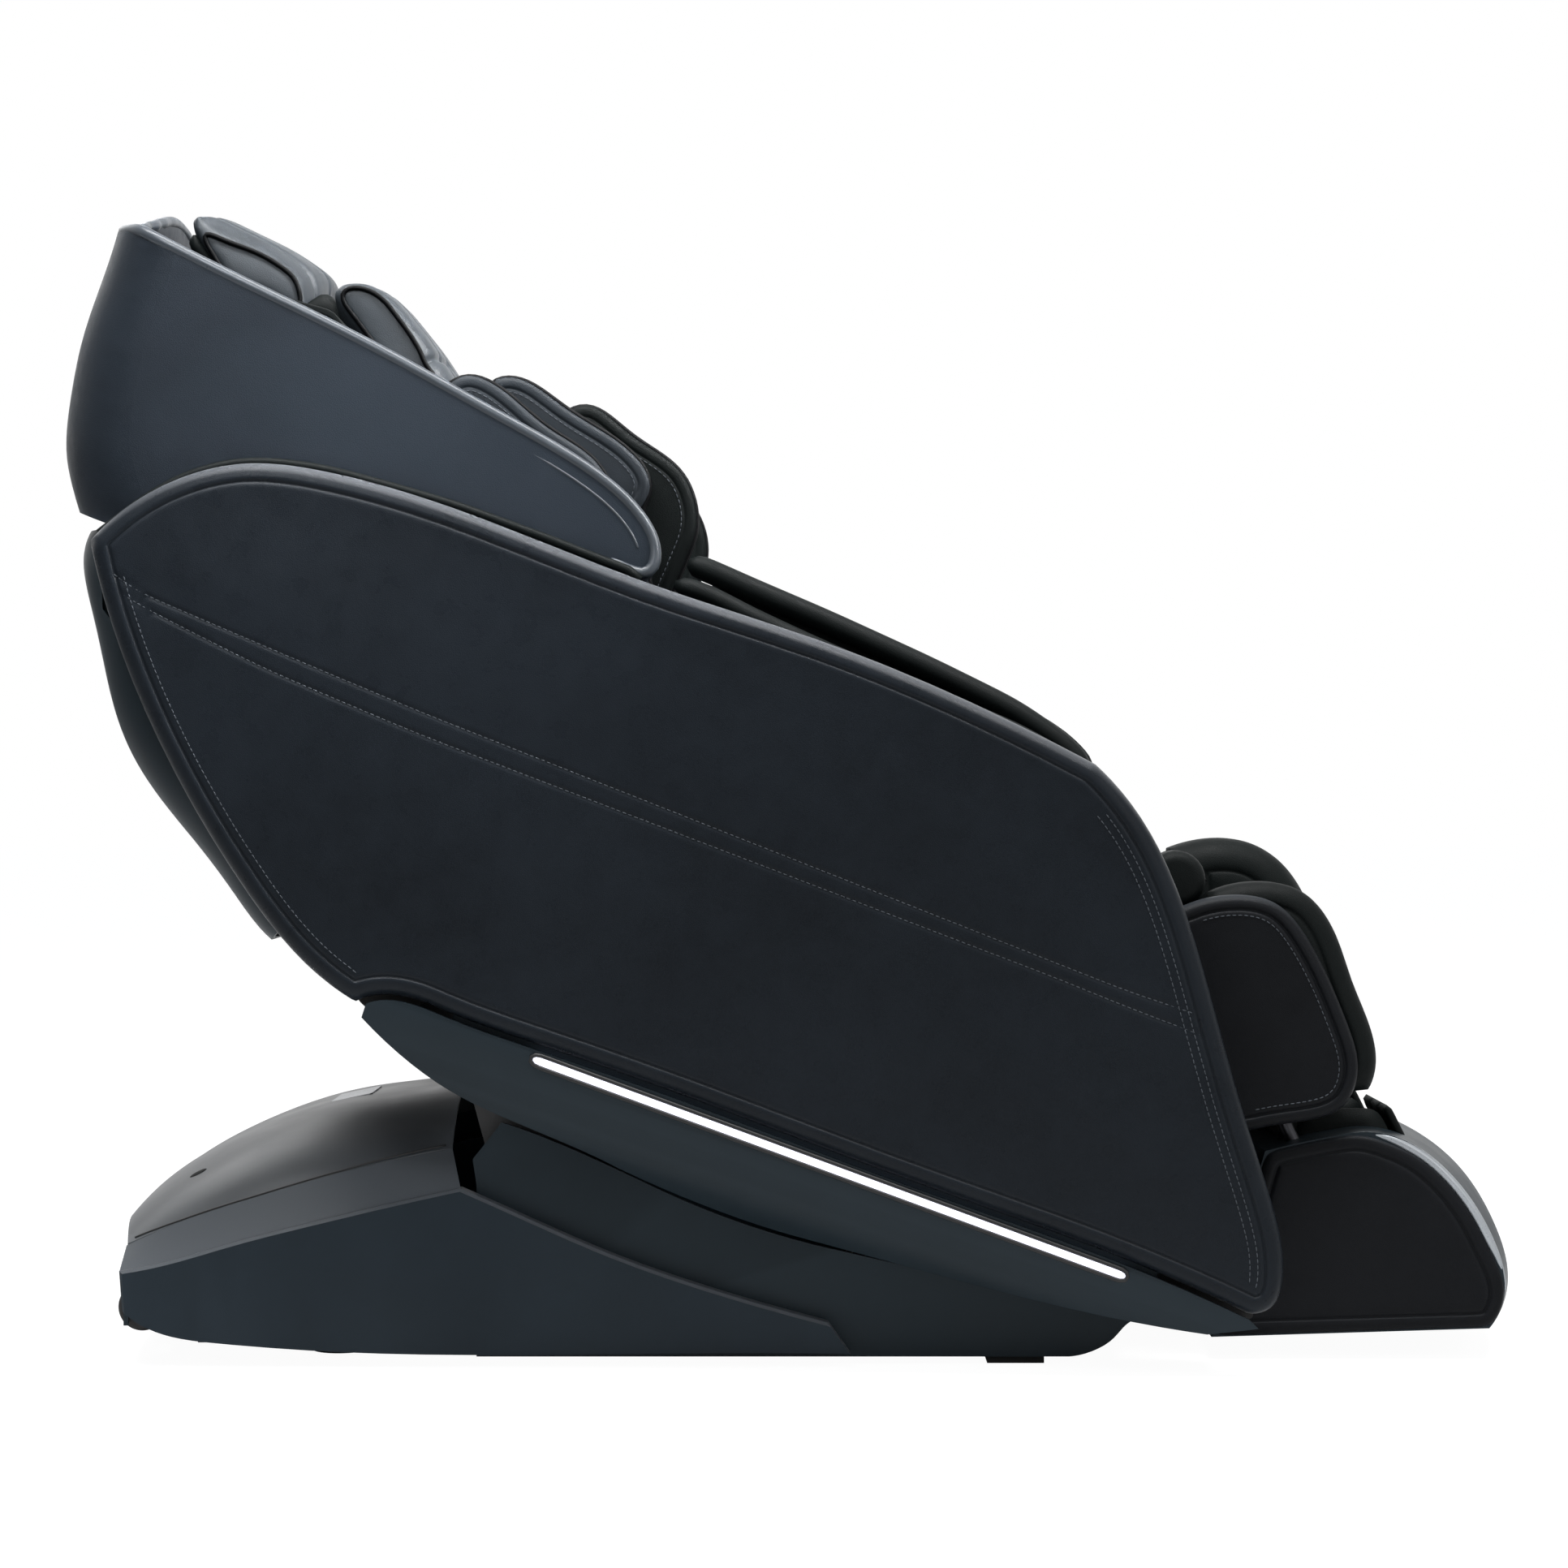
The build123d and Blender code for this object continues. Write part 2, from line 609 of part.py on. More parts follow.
# ---------------------------------------------------------------- back
PAD_BACK = -55  # rear face of the back pad, out of its face
LINER_BACK = -61
RAIL_FRONT = -76
RAIL_BACK = -119
RAIL_IN = 138
RAIL_OUT = 172
BACK_TUBES = (190, 470, 770)  # cross tubes, up the back
BACK_ARM_OUT = SEAT_PLATE_IN - 3
BACK_ARM_IN = BACK_ARM_OUT - 6
LEVER_PIN = (-110, 360)  # where the recline actuator pushes


def on_slope(*points):
    """Side-view points given as (up the back, out of the pad)."""
    return [on_back(s, n) for s, n in points]


SHELL_REAR = [(-736, 905), (-742, 935), (-738, 1000), (-725, 1063), (-706, 1119), (-690, 1168), (-680, 1222)]
SHELL_EDGE = [(-546, 1108), (-425, 1048), (-289, 973), (-192, 915), (-146, 872), (-130, 838), (-134, 812)]
SHELL_HIDDEN = [(-150, 796), (-420, 815), (-640, 850), (-729, 881)]
SHELL_CORNER = 1166  # top of the shell at its corners
SHELL_CREST = [(-240, 1179), (-120, 1205), (0, 1222), (120, 1205), (240, 1179)]  # and across its top
SHELL_ROUND = 78
with BuildPart() as shell_outside:
    with BuildSketch(Plane.XZ.offset(-SHELL_OUT)):
        with BuildLine():
            trace((-729, 881), SHELL_REAR, [(-668, 1222)], [(-660, 1166)], SHELL_EDGE, SHELL_HIDDEN)
        make_face()
    extrude(amount=2 * SHELL_OUT)
    side_faces = shell_outside.faces().filter_by(Axis.Y)
    rear_edges = side_faces.edges().filter_by(lambda e: e.center().X < -715)
    fillet(rear_edges, SHELL_ROUND)
    with BuildSketch(Plane.YZ.offset(-800)):
        with BuildLine():
            Spline((-SHELL_OUT, SHELL_CORNER), *SHELL_CREST, (SHELL_OUT, SHELL_CORNER))
            Polyline((SHELL_OUT, SHELL_CORNER), (SHELL_OUT, 600), (-SHELL_OUT, 600), (-SHELL_OUT, SHELL_CORNER))
        make_face()
    extrude(amount=900, mode=Mode.INTERSECT)
SHELL_IN = SHELL_OUT - SHELL_WALL
HOLLOW_FRONT = 100
HOLLOW_REAR = [
    (-705, 760),
    (-728, 905),
    (-733, 945),
    (-729, 1000),
    (-716, 1063),
    (-697, 1119),
    (-671, 1222),
    (-654, 1300),
]
with BuildPart() as shell_hollow:
    for x, z in HOLLOW_REAR:
        with BuildSketch(Plane.XY.offset(z)):
            with Locations(((x + HOLLOW_FRONT) / 2, 0)):
                RectangleRounded(HOLLOW_FRONT - x, 2 * SHELL_IN, SHELL_ROUND - SHELL_WALL)
    loft()
with BuildPart() as back_shell:
    add(shell_outside.part)
    add(shell_hollow.part, mode=Mode.SUBTRACT)
save(back_shell.part, "back_shell")


def slope_bar(near, far, bottom, top, front, back):
    """A straight bar that lies along the back."""
    low_front, high_front, high_back, low_back = on_slope(
        (bottom, front), (top, front), (top, back), (bottom, back)
    )
    return slab(near, far, low_front, [high_front], [high_back], [low_back])


FLANGE = 4
RAIL_SPAN = (150, 765)
TUBE_BACK = RAIL_BACK - TUBE
with BuildPart() as back_frame:
    for side in (-1, 1):
        low, high = sorted((side * RAIL_IN, side * RAIL_OUT))
        add(slope_bar(low, high, *RAIL_SPAN, RAIL_FRONT, RAIL_FRONT - FLANGE))
        add(slope_bar(low, high, *RAIL_SPAN, RAIL_BACK + FLANGE, RAIL_BACK))
        low, high = sorted((side * (RAIL_OUT - 6), side * RAIL_OUT))
        add(slope_bar(low, high, *RAIL_SPAN, RAIL_FRONT, RAIL_BACK))
        low, high = sorted((side * BACK_ARM_IN, side * BACK_ARM_OUT))
        add(slope_bar(low, high, 130, BACK_TUBES[-1] + TUBE / 2, RAIL_BACK, TUBE_BACK))
        add(lug(low, high, HIP_PIVOT, on_back(160, -132), 42, PIN_HOLE))
    for height in BACK_TUBES:
        reach = SHELL_IN if height == BACK_TUBES[-1] else BACK_ARM_OUT  # the top tube carries the shell
        add(slope_bar(-reach, reach, height - TUBE / 2, height + TUBE / 2, RAIL_BACK, TUBE_BACK))
    lever_root = on_back(BACK_TUBES[0], RAIL_BACK - TUBE / 2)
    for near in (RECLINE_Y - ACTUATOR_GAP / 2 - CHEEK, RECLINE_Y + ACTUATOR_GAP / 2):
        add(lug(near, near + CHEEK, LEVER_PIN, lever_root, 28, PIN_HOLE))
save(back_frame.part, "back_frame")

LINER_SPAN = (330, 775)
LINER_HALF = 341
liner_foot, liner_bend = on_slope((LINER_SPAN[0], PAD_BACK), (LINER_SPAN[1], PAD_BACK))
liner_foot_rear, liner_bend_rear = on_slope((LINER_SPAN[0], LINER_BACK), (LINER_SPAN[1] - 4, LINER_BACK))
back_liner = slab(
    -LINER_HALF,
    LINER_HALF,
    liner_foot,
    [liner_bend],
    [(-520, 1100)],
    [(-580, 1131)],
    [(-636, 1157)],
    [(-636, 1150)],
    [(-582, 1124)],
    [(-521, 1093)],
    [liner_bend_rear],
    [liner_foot_rear],
)
save(back_liner, "back_liner")

back_pad = slab(
    -BACK_HALF,
    BACK_HALF,
    on_back(62, PAD_BACK),
    [on_back(826, PAD_BACK)],
    [(-470, 1138), (-438, 1135), (-415, 1116), (-385, 1079)],
    [on_back(690, 2), on_back(300, 0), on_back(75, -4)],
    [on_back(50, -18), on_back(50, -42), on_back(62, PAD_BACK)],
)
save(back_pad, "back_pad")

head_pillow = slab(
    -150,
    150,
    (-600, 1142),
    [(-522, 1102)],
    [(-500, 1104)],
    [(-502, 1156)],
    [(-539, 1182), (-591, 1208), (-634, 1218), (-642, 1206)],
    [(-622, 1176), (-600, 1142)],
)
save(head_pillow, "head_pillow")

# Shoulder wings: three upright cushions a side, each inner one reaching further forward.
WINGS = {
    "outer": (300, 336, [(-345, 1007), (-320, 1018), (-298, 1010), (-243, 966), (-195, 933), (-178, 908)], 20),
    "middle": (260, 296, [(-304, 1016), (-285, 1021), (-226, 989), (-159, 944), (-139, 915), (-148, 885)], 30),
    "inner": (216, 256, [(-226, 990), (-211, 996), (-161, 966), (-106, 924), (-92, 888), (-98, 846)], 36),
}
for name, (near, far, crest, foot_reach) in WINGS.items():
    root_top = on_back(650, PAD_BACK + 0.3) if name == "outer" else on_back(560, PAD_BACK + 0.3)
    wing = slab(
        near,
        far,
        on_back(LINER_SPAN[0], PAD_BACK + 0.3),
        [root_top],
        [crest[0]],
        crest[1:],
        [on_back(LINER_SPAN[0], foot_reach)],
    )
    save_pair(wing, f"{name}_shoulder_wing")

lever_pin = pivot_pin(RECLINE_Y + ACTUATOR_HEAD, RECLINE_Y - ACTUATOR_HEAD - 2, LEVER_PIN)
save(lever_pin, "lever_pin")


# ---------------------------------------------------------------- massage carriage
CARRIAGE_S = 480  # rest height up the back
SHAFT_N = -89
SHAFT = 14
ROLLER_R = 27.5
CHEEK_OUT = 124
with BuildPart() as carriage_plate:
    add(slope_bar(-CHEEK_OUT, CHEEK_OUT, CARRIAGE_S - 66, CARRIAGE_S + 66, -112, -118))
    for near in (-CHEEK_OUT, CHEEK_OUT - 6):
        add(slope_bar(near, near + 6, CARRIAGE_S - 60, CARRIAGE_S + 60, -78, -113))
    add(slope_bar(-110, 110, CARRIAGE_S - 32, CARRIAGE_S + 32, -105, -120), mode=Mode.SUBTRACT)
    with BuildSketch(Plane.XZ.offset(-CHEEK_OUT - 1)):
        with Locations(on_back(CARRIAGE_S, SHAFT_N)):
            Circle(SHAFT / 2 + PIN_FIT)
    extrude(amount=2 * CHEEK_OUT + 2, mode=Mode.SUBTRACT)
save(carriage_plate.part, "carriage_plate")


def cross_rod(point, radius, near, far):
    """A round bar across the chair at a side-view point."""
    with BuildPart() as rod:
        with BuildSketch(Plane.XZ.offset(near)):
            with Locations(point):
                Circle(radius)
        extrude(amount=far - near)
    return rod.part


with BuildPart() as kneading_rollers:
    axle = on_back(CARRIAGE_S, SHAFT_N)
    add(cross_rod(axle, SHAFT / 2, -CHEEK_OUT - 4, CHEEK_OUT + 4))
    for near in (-104, -54, 24, 74):
        add(cross_rod(axle, ROLLER_R, near, near + 30))
save(kneading_rollers.part, "kneading_rollers")

with BuildPart() as rail_wheels:
    for s in (CARRIAGE_S - 45, CARRIAGE_S + 45):
        spot = on_back(s, (RAIL_FRONT + RAIL_BACK) / 2)
        for side in (-1, 1):
            low, high = sorted((side * (RAIL_IN + 2), side * (RAIL_OUT - 8)))
            add(cross_rod(spot, 17, low, high))
            low, high = sorted((side * CHEEK_OUT, side * (RAIL_IN + 2)))
            add(cross_rod(spot, 5, low, high))
save(group(rail_wheels.part), "rail_wheels")

carriage_motor = cross_rod(on_back(CARRIAGE_S + 47, -97), 15, -60, 60)
save(carriage_motor, "carriage_motor")


# ---------------------------------------------------------------- leg rest
DOWN_LEG = (sin(radians(LEG_ANGLE)), -cos(radians(LEG_ANGLE)))  # along the slide
OUT_LEG = (cos(radians(LEG_ANGLE)), sin(radians(LEG_ANGLE)))  # towards the calves
CALF_TOP = (430, 468)  # top of the back plate of the calf unit
CALF_PLATE = 4
CALF_LENGTH = 228
LUG_OUT = SEAT_PLATE_IN - 3
MOTOR_SPAN = (20, 70)
MOTOR_LUG = (76, 84)
SLIDE_Y = 212
SLIDE_R = 8
SLIDE_BACK = -14  # slide axis behind the plate
GUIDE_R = 12
GUIDE_LENGTH = 205
CALF_WALL_IN = 206
DIVIDER_HALF = 45


def on_leg(down, out):
    """The side-view point at a distance down the slide and out from the calf plate."""
    return (
        CALF_TOP[0] + DOWN_LEG[0] * down + OUT_LEG[0] * out,
        CALF_TOP[1] + DOWN_LEG[1] * down + OUT_LEG[1] * out,
    )


def leg_bar(near, far, top, bottom, back, front):
    """A straight bar that lies along the leg rest."""
    corners = [(top, front), (bottom, front), (bottom, back)]
    return slab(near, far, on_leg(top, back), *[[on_leg(*corner)] for corner in corners])


def slide_plane(side, down):
    """A plane square to the slides, on the axis of one of them."""
    x, z = on_leg(down, SLIDE_BACK)
    return Plane(origin=(x, -side * SLIDE_Y, z), x_dir=(0, 1, 0), z_dir=(DOWN_LEG[0], 0, DOWN_LEG[1]))


with BuildPart() as calf_frame:
    add(leg_bar(-LUG_OUT, LUG_OUT, 0, CALF_LENGTH, 0, CALF_PLATE))
    for near, far in ((LUG_OUT - 6, LUG_OUT), (-LUG_OUT, -LUG_OUT + 6), MOTOR_LUG):
        add(lug(near, far, KNEE_PIVOT, on_leg(26, -11), 22, PIN_HOLE))
    for side in (-1, 1):
        with BuildSketch(slide_plane(side, 12)):
            Circle(GUIDE_R)
        extrude(amount=GUIDE_LENGTH - 12)
        low, high = sorted((side * (SLIDE_Y - 4), side * (SLIDE_Y + 4)))
        add(leg_bar(low, high, 20, GUIDE_LENGTH - 10, SLIDE_BACK, 1))
        with BuildSketch(slide_plane(side, 0)):
            Circle(SLIDE_R + PIN_FIT)
        extrude(amount=GUIDE_LENGTH + 10, mode=Mode.SUBTRACT)
save(calf_frame.part, "calf_frame")

# Geared motor on the knee axis: bolted to the front seat tube, its shaft drives the middle lug.
with BuildPart() as leg_motor:
    front = SEAT_TUBES[1] + TUBE / 2
    add(
        slab(
            MOTOR_SPAN[0],
            MOTOR_SPAN[1],
            (front, SEAT_TUBE_Z - 13),
            [(front, SEAT_PAN_Z - 2)],
            [(389, SEAT_PAN_Z - 2)],
            [(396, 500)],
            [(418, 492)],
            [(418, SEAT_TUBE_Z - 13)],
        )
    )
    add(cross_rod(KNEE_PIVOT, 15, *MOTOR_SPAN))
    add(cross_rod(KNEE_PIVOT, PIN / 2, MOTOR_SPAN[1] - 2, MOTOR_LUG[1] + 2))
save(leg_motor.part, "leg_motor")

save_pair(
    slab(
        CALF_OUT - 17,
        CALF_OUT,
        (396, 468),
        [(417, 474)],
        [(470, 485), (513, 475), (543, 442), (586, 351), (597, 300), (582, 265), (540, 249), (492, 241)],
        [(452, 234)],
        soft=6,
    ),
    "calf_panel",
)

calf_side = slab(
    CALF_WALL_IN,
    CALF_OUT - 17.3,
    on_leg(0, CALF_PLATE + 0.3),
    [(444, 486)],
    [(497, 498), (543, 487), (579, 440), (595, 394), (611, 354), (620, 316), (612, 280)],
    [on_leg(CALF_LENGTH - 6, CALF_PLATE + 0.3)],
)
save(group(calf_side, mirror(calf_side, about=Plane.XZ)), "calf_side_pads")

knee_divider = slab(
    -DIVIDER_HALF,
    DIVIDER_HALF,
    on_leg(0, CALF_PLATE + 0.3),
    [(432, 500)],
    [(426, 528)],
    [(467, 539), (513, 536), (554, 511), (576, 480), (606, 400), (622, 326), (612, 280)],
    [on_leg(CALF_LENGTH - 6, CALF_PLATE + 0.3)],
)
save(knee_divider, "knee_divider")

calf_back = leg_bar(DIVIDER_HALF + 1, CALF_WALL_IN - 1, 8, CALF_LENGTH - 6, CALF_PLATE, CALF_PLATE + 34)
save(group(calf_back, mirror(calf_back, about=Plane.XZ)), "calf_back_pads")

# ---------------------------------------------------------------- foot unit
FOOT_CROWN = 37  # how far the front bows out in the middle
WELL_IN = 50
WELL_OUT = 196
ROLLER_AXLE = (600, 88)
with BuildPart() as foot_shell:
    for offset_y, bow in ((-FOOT_HALF, 0), (0, FOOT_CROWN), (FOOT_HALF, 0)):
        with BuildSketch(Plane.XZ.offset(offset_y)):
            with BuildLine():
                rear = (502, 217)
                top = [(540, 226), (594, 236)]
                front = [
                    (648 + bow * 0.7, 228),
                    (702 + bow, 185),
                    (738 + bow, 128),
                    (752 + bow, 70),
                    (736 + bow, 32),
                ]
                Spline(rear, *top)
                Spline(top[-1], *front)
                Polyline(front[-1], (446, 23), rear)
            make_face()
    loft()
    for side in (-1, 1):
        low, high = sorted((side * WELL_IN, side * WELL_OUT))
        well = slab(low, high, (534, 270), [(506, 64)], [(688, 64)], [(706, 110), (690, 170), (640, 270)])
        add(well, mode=Mode.SUBTRACT)
        with BuildSketch(slide_plane(side, CALF_LENGTH)):
            Circle(SLIDE_R)
        extrude(amount=90, mode=Mode.SUBTRACT)
    add(cross_rod(ROLLER_AXLE, 5 + PIN_FIT, -WELL_OUT - 10, WELL_OUT + 10), mode=Mode.SUBTRACT)
save(foot_shell.part, "foot_shell")

with BuildPart() as foot_slides:
    for side in (-1, 1):
        with BuildSketch(slide_plane(side, 14)):
            Circle(SLIDE_R)
        extrude(amount=CALF_LENGTH + 90 - 14)
save(group(foot_slides.part), "foot_slides")

foot_mat = slab(WELL_IN + 1, WELL_OUT - 1, (509, 64), [(509.5, 68)], [(687, 68)], [(687, 64)])
save(group(foot_mat, mirror(foot_mat, about=Plane.XZ)), "foot_mats")

with BuildPart() as sole_rollers:
    add(cross_rod(ROLLER_AXLE, 5, -WELL_OUT - 8, WELL_OUT + 8))
    for near in (-WELL_OUT + 6, WELL_IN + 6):
        add(cross_rod(ROLLER_AXLE, 17, near, near + WELL_OUT - WELL_IN - 12))
save(sole_rollers.part, "sole_rollers")

# ---------------------------------------------------------------- linear actuators
BARREL_R = 16
ROD_R = 9
EYE_HALF = ACTUATOR_GAP / 2 - 3


def actuator(foot, head, middle, barrel_length, rod_length, eye_play, motor_side):
    """The barrel with its motor, and the rod, of an actuator between two pins in side view."""
    run = Vector(head[0] - foot[0], 0, head[1] - foot[1])
    along = run.normalized()
    side_step = Vector(along.Z, 0, -along.X) * motor_side * 34

    def station(distance, step=Vector()):
        origin = Vector(foot[0], -middle, foot[1]) + along * distance + step
        return Plane(origin=origin, x_dir=(0, 1, 0), z_dir=along)

    def spot(distance):
        return (foot[0] + along.X * distance, foot[1] + along.Z * distance)

    with BuildPart() as barrel:
        add(lug(middle - EYE_HALF, middle + EYE_HALF, foot, spot(26), 26, PIN_HOLE))
        with BuildSketch(station(20)):
            Circle(BARREL_R)
        extrude(amount=barrel_length - 20)
        with BuildSketch(station(26, side_step)):
            Circle(18)
        extrude(amount=84)
        with BuildSketch(station(26, side_step * 0.5)):
            Rectangle(22, 30)
        extrude(amount=20)
        with BuildSketch(station(22)):
            Circle(ROD_R + PIN_FIT)
        extrude(amount=barrel_length, mode=Mode.SUBTRACT)
    with BuildPart() as rod:
        with BuildSketch(station(run.length - rod_length)):
            Circle(ROD_R)
        extrude(amount=rod_length - 12)
        add(lug(middle - EYE_HALF, middle + EYE_HALF, head, spot(run.length - 20), 2 * (PIN / 2 + eye_play + 5)))
        add(cross_rod(head, PIN / 2 + eye_play, middle - EYE_HALF, middle + EYE_HALF), mode=Mode.SUBTRACT)
    return barrel.part, rod.part


tilt_barrel, tilt_rod = actuator(TILT_PIN, TILT_HEAD, 0, 150, 212, 1.5, 1)
save(tilt_barrel, "tilt_actuator")
save(tilt_rod, "tilt_rod")
recline_barrel, recline_rod = actuator(RECLINE_FOOT, LEVER_PIN, RECLINE_Y, 130, 214, 5, -1)
save(recline_barrel, "recline_actuator")
save(recline_rod, "recline_rod")
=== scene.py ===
"""Looks of the massage chair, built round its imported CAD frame, in metres: X forward, Y left, Z up."""

import json
import math

import bmesh
import bpy
import numpy as np
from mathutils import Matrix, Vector
from mathutils.bvhtree import BVHTree
from mathutils.geometry import delaunay_2d_cdt


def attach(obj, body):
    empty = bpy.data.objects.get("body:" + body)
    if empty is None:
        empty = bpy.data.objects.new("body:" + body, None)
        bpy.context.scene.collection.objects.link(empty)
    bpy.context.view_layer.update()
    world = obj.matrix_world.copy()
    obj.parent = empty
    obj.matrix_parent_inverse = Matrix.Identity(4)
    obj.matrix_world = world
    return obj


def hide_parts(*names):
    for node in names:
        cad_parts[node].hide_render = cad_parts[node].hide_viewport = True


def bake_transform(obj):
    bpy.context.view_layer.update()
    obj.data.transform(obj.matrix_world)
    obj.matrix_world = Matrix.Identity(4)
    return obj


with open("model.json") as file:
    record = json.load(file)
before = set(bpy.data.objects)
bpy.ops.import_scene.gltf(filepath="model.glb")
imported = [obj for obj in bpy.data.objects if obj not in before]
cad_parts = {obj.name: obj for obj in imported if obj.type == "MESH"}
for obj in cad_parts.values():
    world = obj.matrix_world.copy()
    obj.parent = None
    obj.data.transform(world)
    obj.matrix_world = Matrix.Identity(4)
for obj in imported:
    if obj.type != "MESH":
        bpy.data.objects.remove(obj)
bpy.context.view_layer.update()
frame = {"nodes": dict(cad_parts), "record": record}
NODES = frame["nodes"]
SLOT = {part["node"]: part["material_slot"] for part in frame["record"]["subparts"]}
MIDDLE_X = 0.023  # the chair's middle, ahead of the zero of the drawing
EDGE_STEP = 0.005  # between the points of an outline
ROW_RISE = 0.866  # height of an even triangle, for its side of 1


def drawn(points):
    """Side-view points in drawing millimetres, as metres from the chair's middle."""
    return np.array(points, float) / 1000 - (MIDDLE_X, 0)


# ---------------------------------------------------------------- lines
def resample(points, step, closed=False):
    """The same line with points a step apart."""
    p = np.array(points, float)
    if closed:
        p = np.vstack([p, p[:1]])
    run = np.concatenate([[0], np.cumsum(np.linalg.norm(np.diff(p, axis=0), axis=1))])
    count = max(4, int(round(run[-1] / step)))
    at = np.linspace(0, run[-1], count + 1)
    if closed:
        at = at[:-1]
    return np.stack([np.interp(at, run, p[:, k]) for k in range(p.shape[1])], axis=1)


def smooth(points, rounds, closed=False):
    """A line relaxed a little at each round."""
    p = np.array(points, float)
    for _ in range(rounds):
        q = (np.roll(p, 1, 0) + 2 * p + np.roll(p, -1, 0)) / 4
        if not closed:
            q[0], q[-1] = p[0], p[-1]
        p = q
    return p


def curve(points, step=0.006):
    """A smooth open line through side-view points."""
    return resample(smooth(resample(points, 0.01), 6), step)


def section(node, y):
    """The longest closed outline of a CAD node, or of a piece, cut at y. It runs anticlockwise in x and z."""
    bm = bmesh.new()
    bm.from_mesh(NODES[node].data if isinstance(node, str) else node.data)
    bmesh.ops.remove_doubles(bm, verts=bm.verts, dist=1e-5)
    everything = bm.verts[:] + bm.edges[:] + bm.faces[:]
    cut = bmesh.ops.bisect_plane(bm, geom=everything, plane_co=(0, y, 0), plane_no=(0, 1, 0))["geom_cut"]
    edges = [g for g in cut if isinstance(g, bmesh.types.BMEdge)]
    links = {}
    for edge in edges:
        a, b = edge.verts
        links.setdefault(a, []).append(b)
        links.setdefault(b, []).append(a)
    loops = []
    left = dict.fromkeys(links)  # in order, so every run starts its outlines at the same points
    while left:
        here = next(iter(left))
        del left[here]
        loop = [here]
        while True:
            following = [v for v in links[here] if v in left]
            if not following:
                break
            here = following[0]
            del left[here]
            loop.append(here)
        loops.append(np.array([(v.co.x, v.co.z) for v in loop]))
    bm.free()
    return anticlockwise(max(loops, key=lambda p: np.linalg.norm(np.diff(p, axis=0), axis=1).sum()))


def area(loop):
    """Signed area of a closed line of two coordinates."""
    following = np.roll(loop, -1, 0)
    return 0.5 * (loop[:, 0] * following[:, 1] - following[:, 0] * loop[:, 1]).sum()


def anticlockwise(loop):
    """A closed line, turned round if it runs clockwise."""
    return loop if area(loop) > 0 else loop[::-1]


def unit(vectors):
    """Vectors brought to a length of 1."""
    return vectors / np.linalg.norm(vectors, axis=1)[:, None]


def left_of(along):
    """Directions a quarter turn anticlockwise from others in the side view."""
    return np.stack([-along[:, 1], along[:, 0]], axis=1)


def inward(loop):
    """Unit directions that point into an anticlockwise closed line."""
    along = np.roll(loop, -1, 0) - np.roll(loop, 1, 0)
    return left_of(along / (np.linalg.norm(along, axis=1)[:, None] + 1e-12))


def distance(points, line, closed=True):
    """How far each point is from a line."""
    a, b = (line, np.roll(line, -1, 0)) if closed else (line[:-1], line[1:])
    d = b - a
    square = (d * d).sum(1) + 1e-18
    out = np.empty(len(points))
    for start in range(0, len(points), 2000):
        p = points[start : start + 2000, None]
        t = np.clip(((p - a) * d).sum(2) / square, 0, 1)
        out[start : start + 2000] = np.linalg.norm(p - a - t[..., None] * d, axis=2).min(1)
    return out


def inside(points, loop):
    """Whether each point is in a closed line."""
    a, b = loop, np.roll(loop, -1, 0)
    x, y = points[:, 0, None], points[:, 1, None]
    crosses = (a[:, 1] > y) != (b[:, 1] > y)
    rise = np.where(b[:, 1] == a[:, 1], 1e-12, b[:, 1] - a[:, 1])
    return (crosses & (x < (b[:, 0] - a[:, 0]) * (y - a[:, 1]) / rise + a[:, 0])).sum(1) % 2 == 1


# ---------------------------------------------------------------- meshes
def mesh_object(name, verts, faces):
    """A smooth-shaded object from points and faces."""
    mesh = bpy.data.meshes.new(name)
    mesh.from_pydata([tuple(v) for v in verts], [], [tuple(f) for f in faces])
    mesh.validate()
    bm = bmesh.new()
    bm.from_mesh(mesh)
    bmesh.ops.recalc_face_normals(bm, faces=bm.faces)
    bm.to_mesh(mesh)
    bm.free()
    mesh.polygons.foreach_set("use_smooth", [True] * len(mesh.polygons))
    obj = bpy.data.objects.new(name, mesh)
    bpy.context.scene.collection.objects.link(obj)
    return obj


def coords(obj):
    """The points of an object's mesh."""
    out = np.empty(len(obj.data.vertices) * 3)
    obj.data.vertices.foreach_get("co", out)
    return out.reshape(-1, 3)


def set_coords(obj, points):
    obj.data.vertices.foreach_set("co", points.ravel())
    obj.data.update()


def normals(obj):
    out = np.empty(len(obj.data.vertices) * 3)
    obj.data.vertex_normals.foreach_get("vector", out)
    return out.reshape(-1, 3)


def apply_modifiers(obj):
    """Turns an object's modifiers into its mesh."""
    evaluated = obj.evaluated_get(bpy.context.evaluated_depsgraph_get())
    mesh = bpy.data.meshes.new_from_object(evaluated)
    obj.modifiers.clear()
    old = obj.data
    obj.data = mesh
    bpy.data.meshes.remove(old)
    mesh.polygons.foreach_set("use_smooth", [True] * len(mesh.polygons))


def mirrored(obj, name):
    """The left-hand twin of a right-hand object."""
    mesh = obj.data.copy()
    twin = bpy.data.objects.new(name, mesh)
    bpy.context.scene.collection.objects.link(twin)
    set_coords(twin, coords(twin) * (1, -1, 1))
    mesh.flip_normals()
    return twin


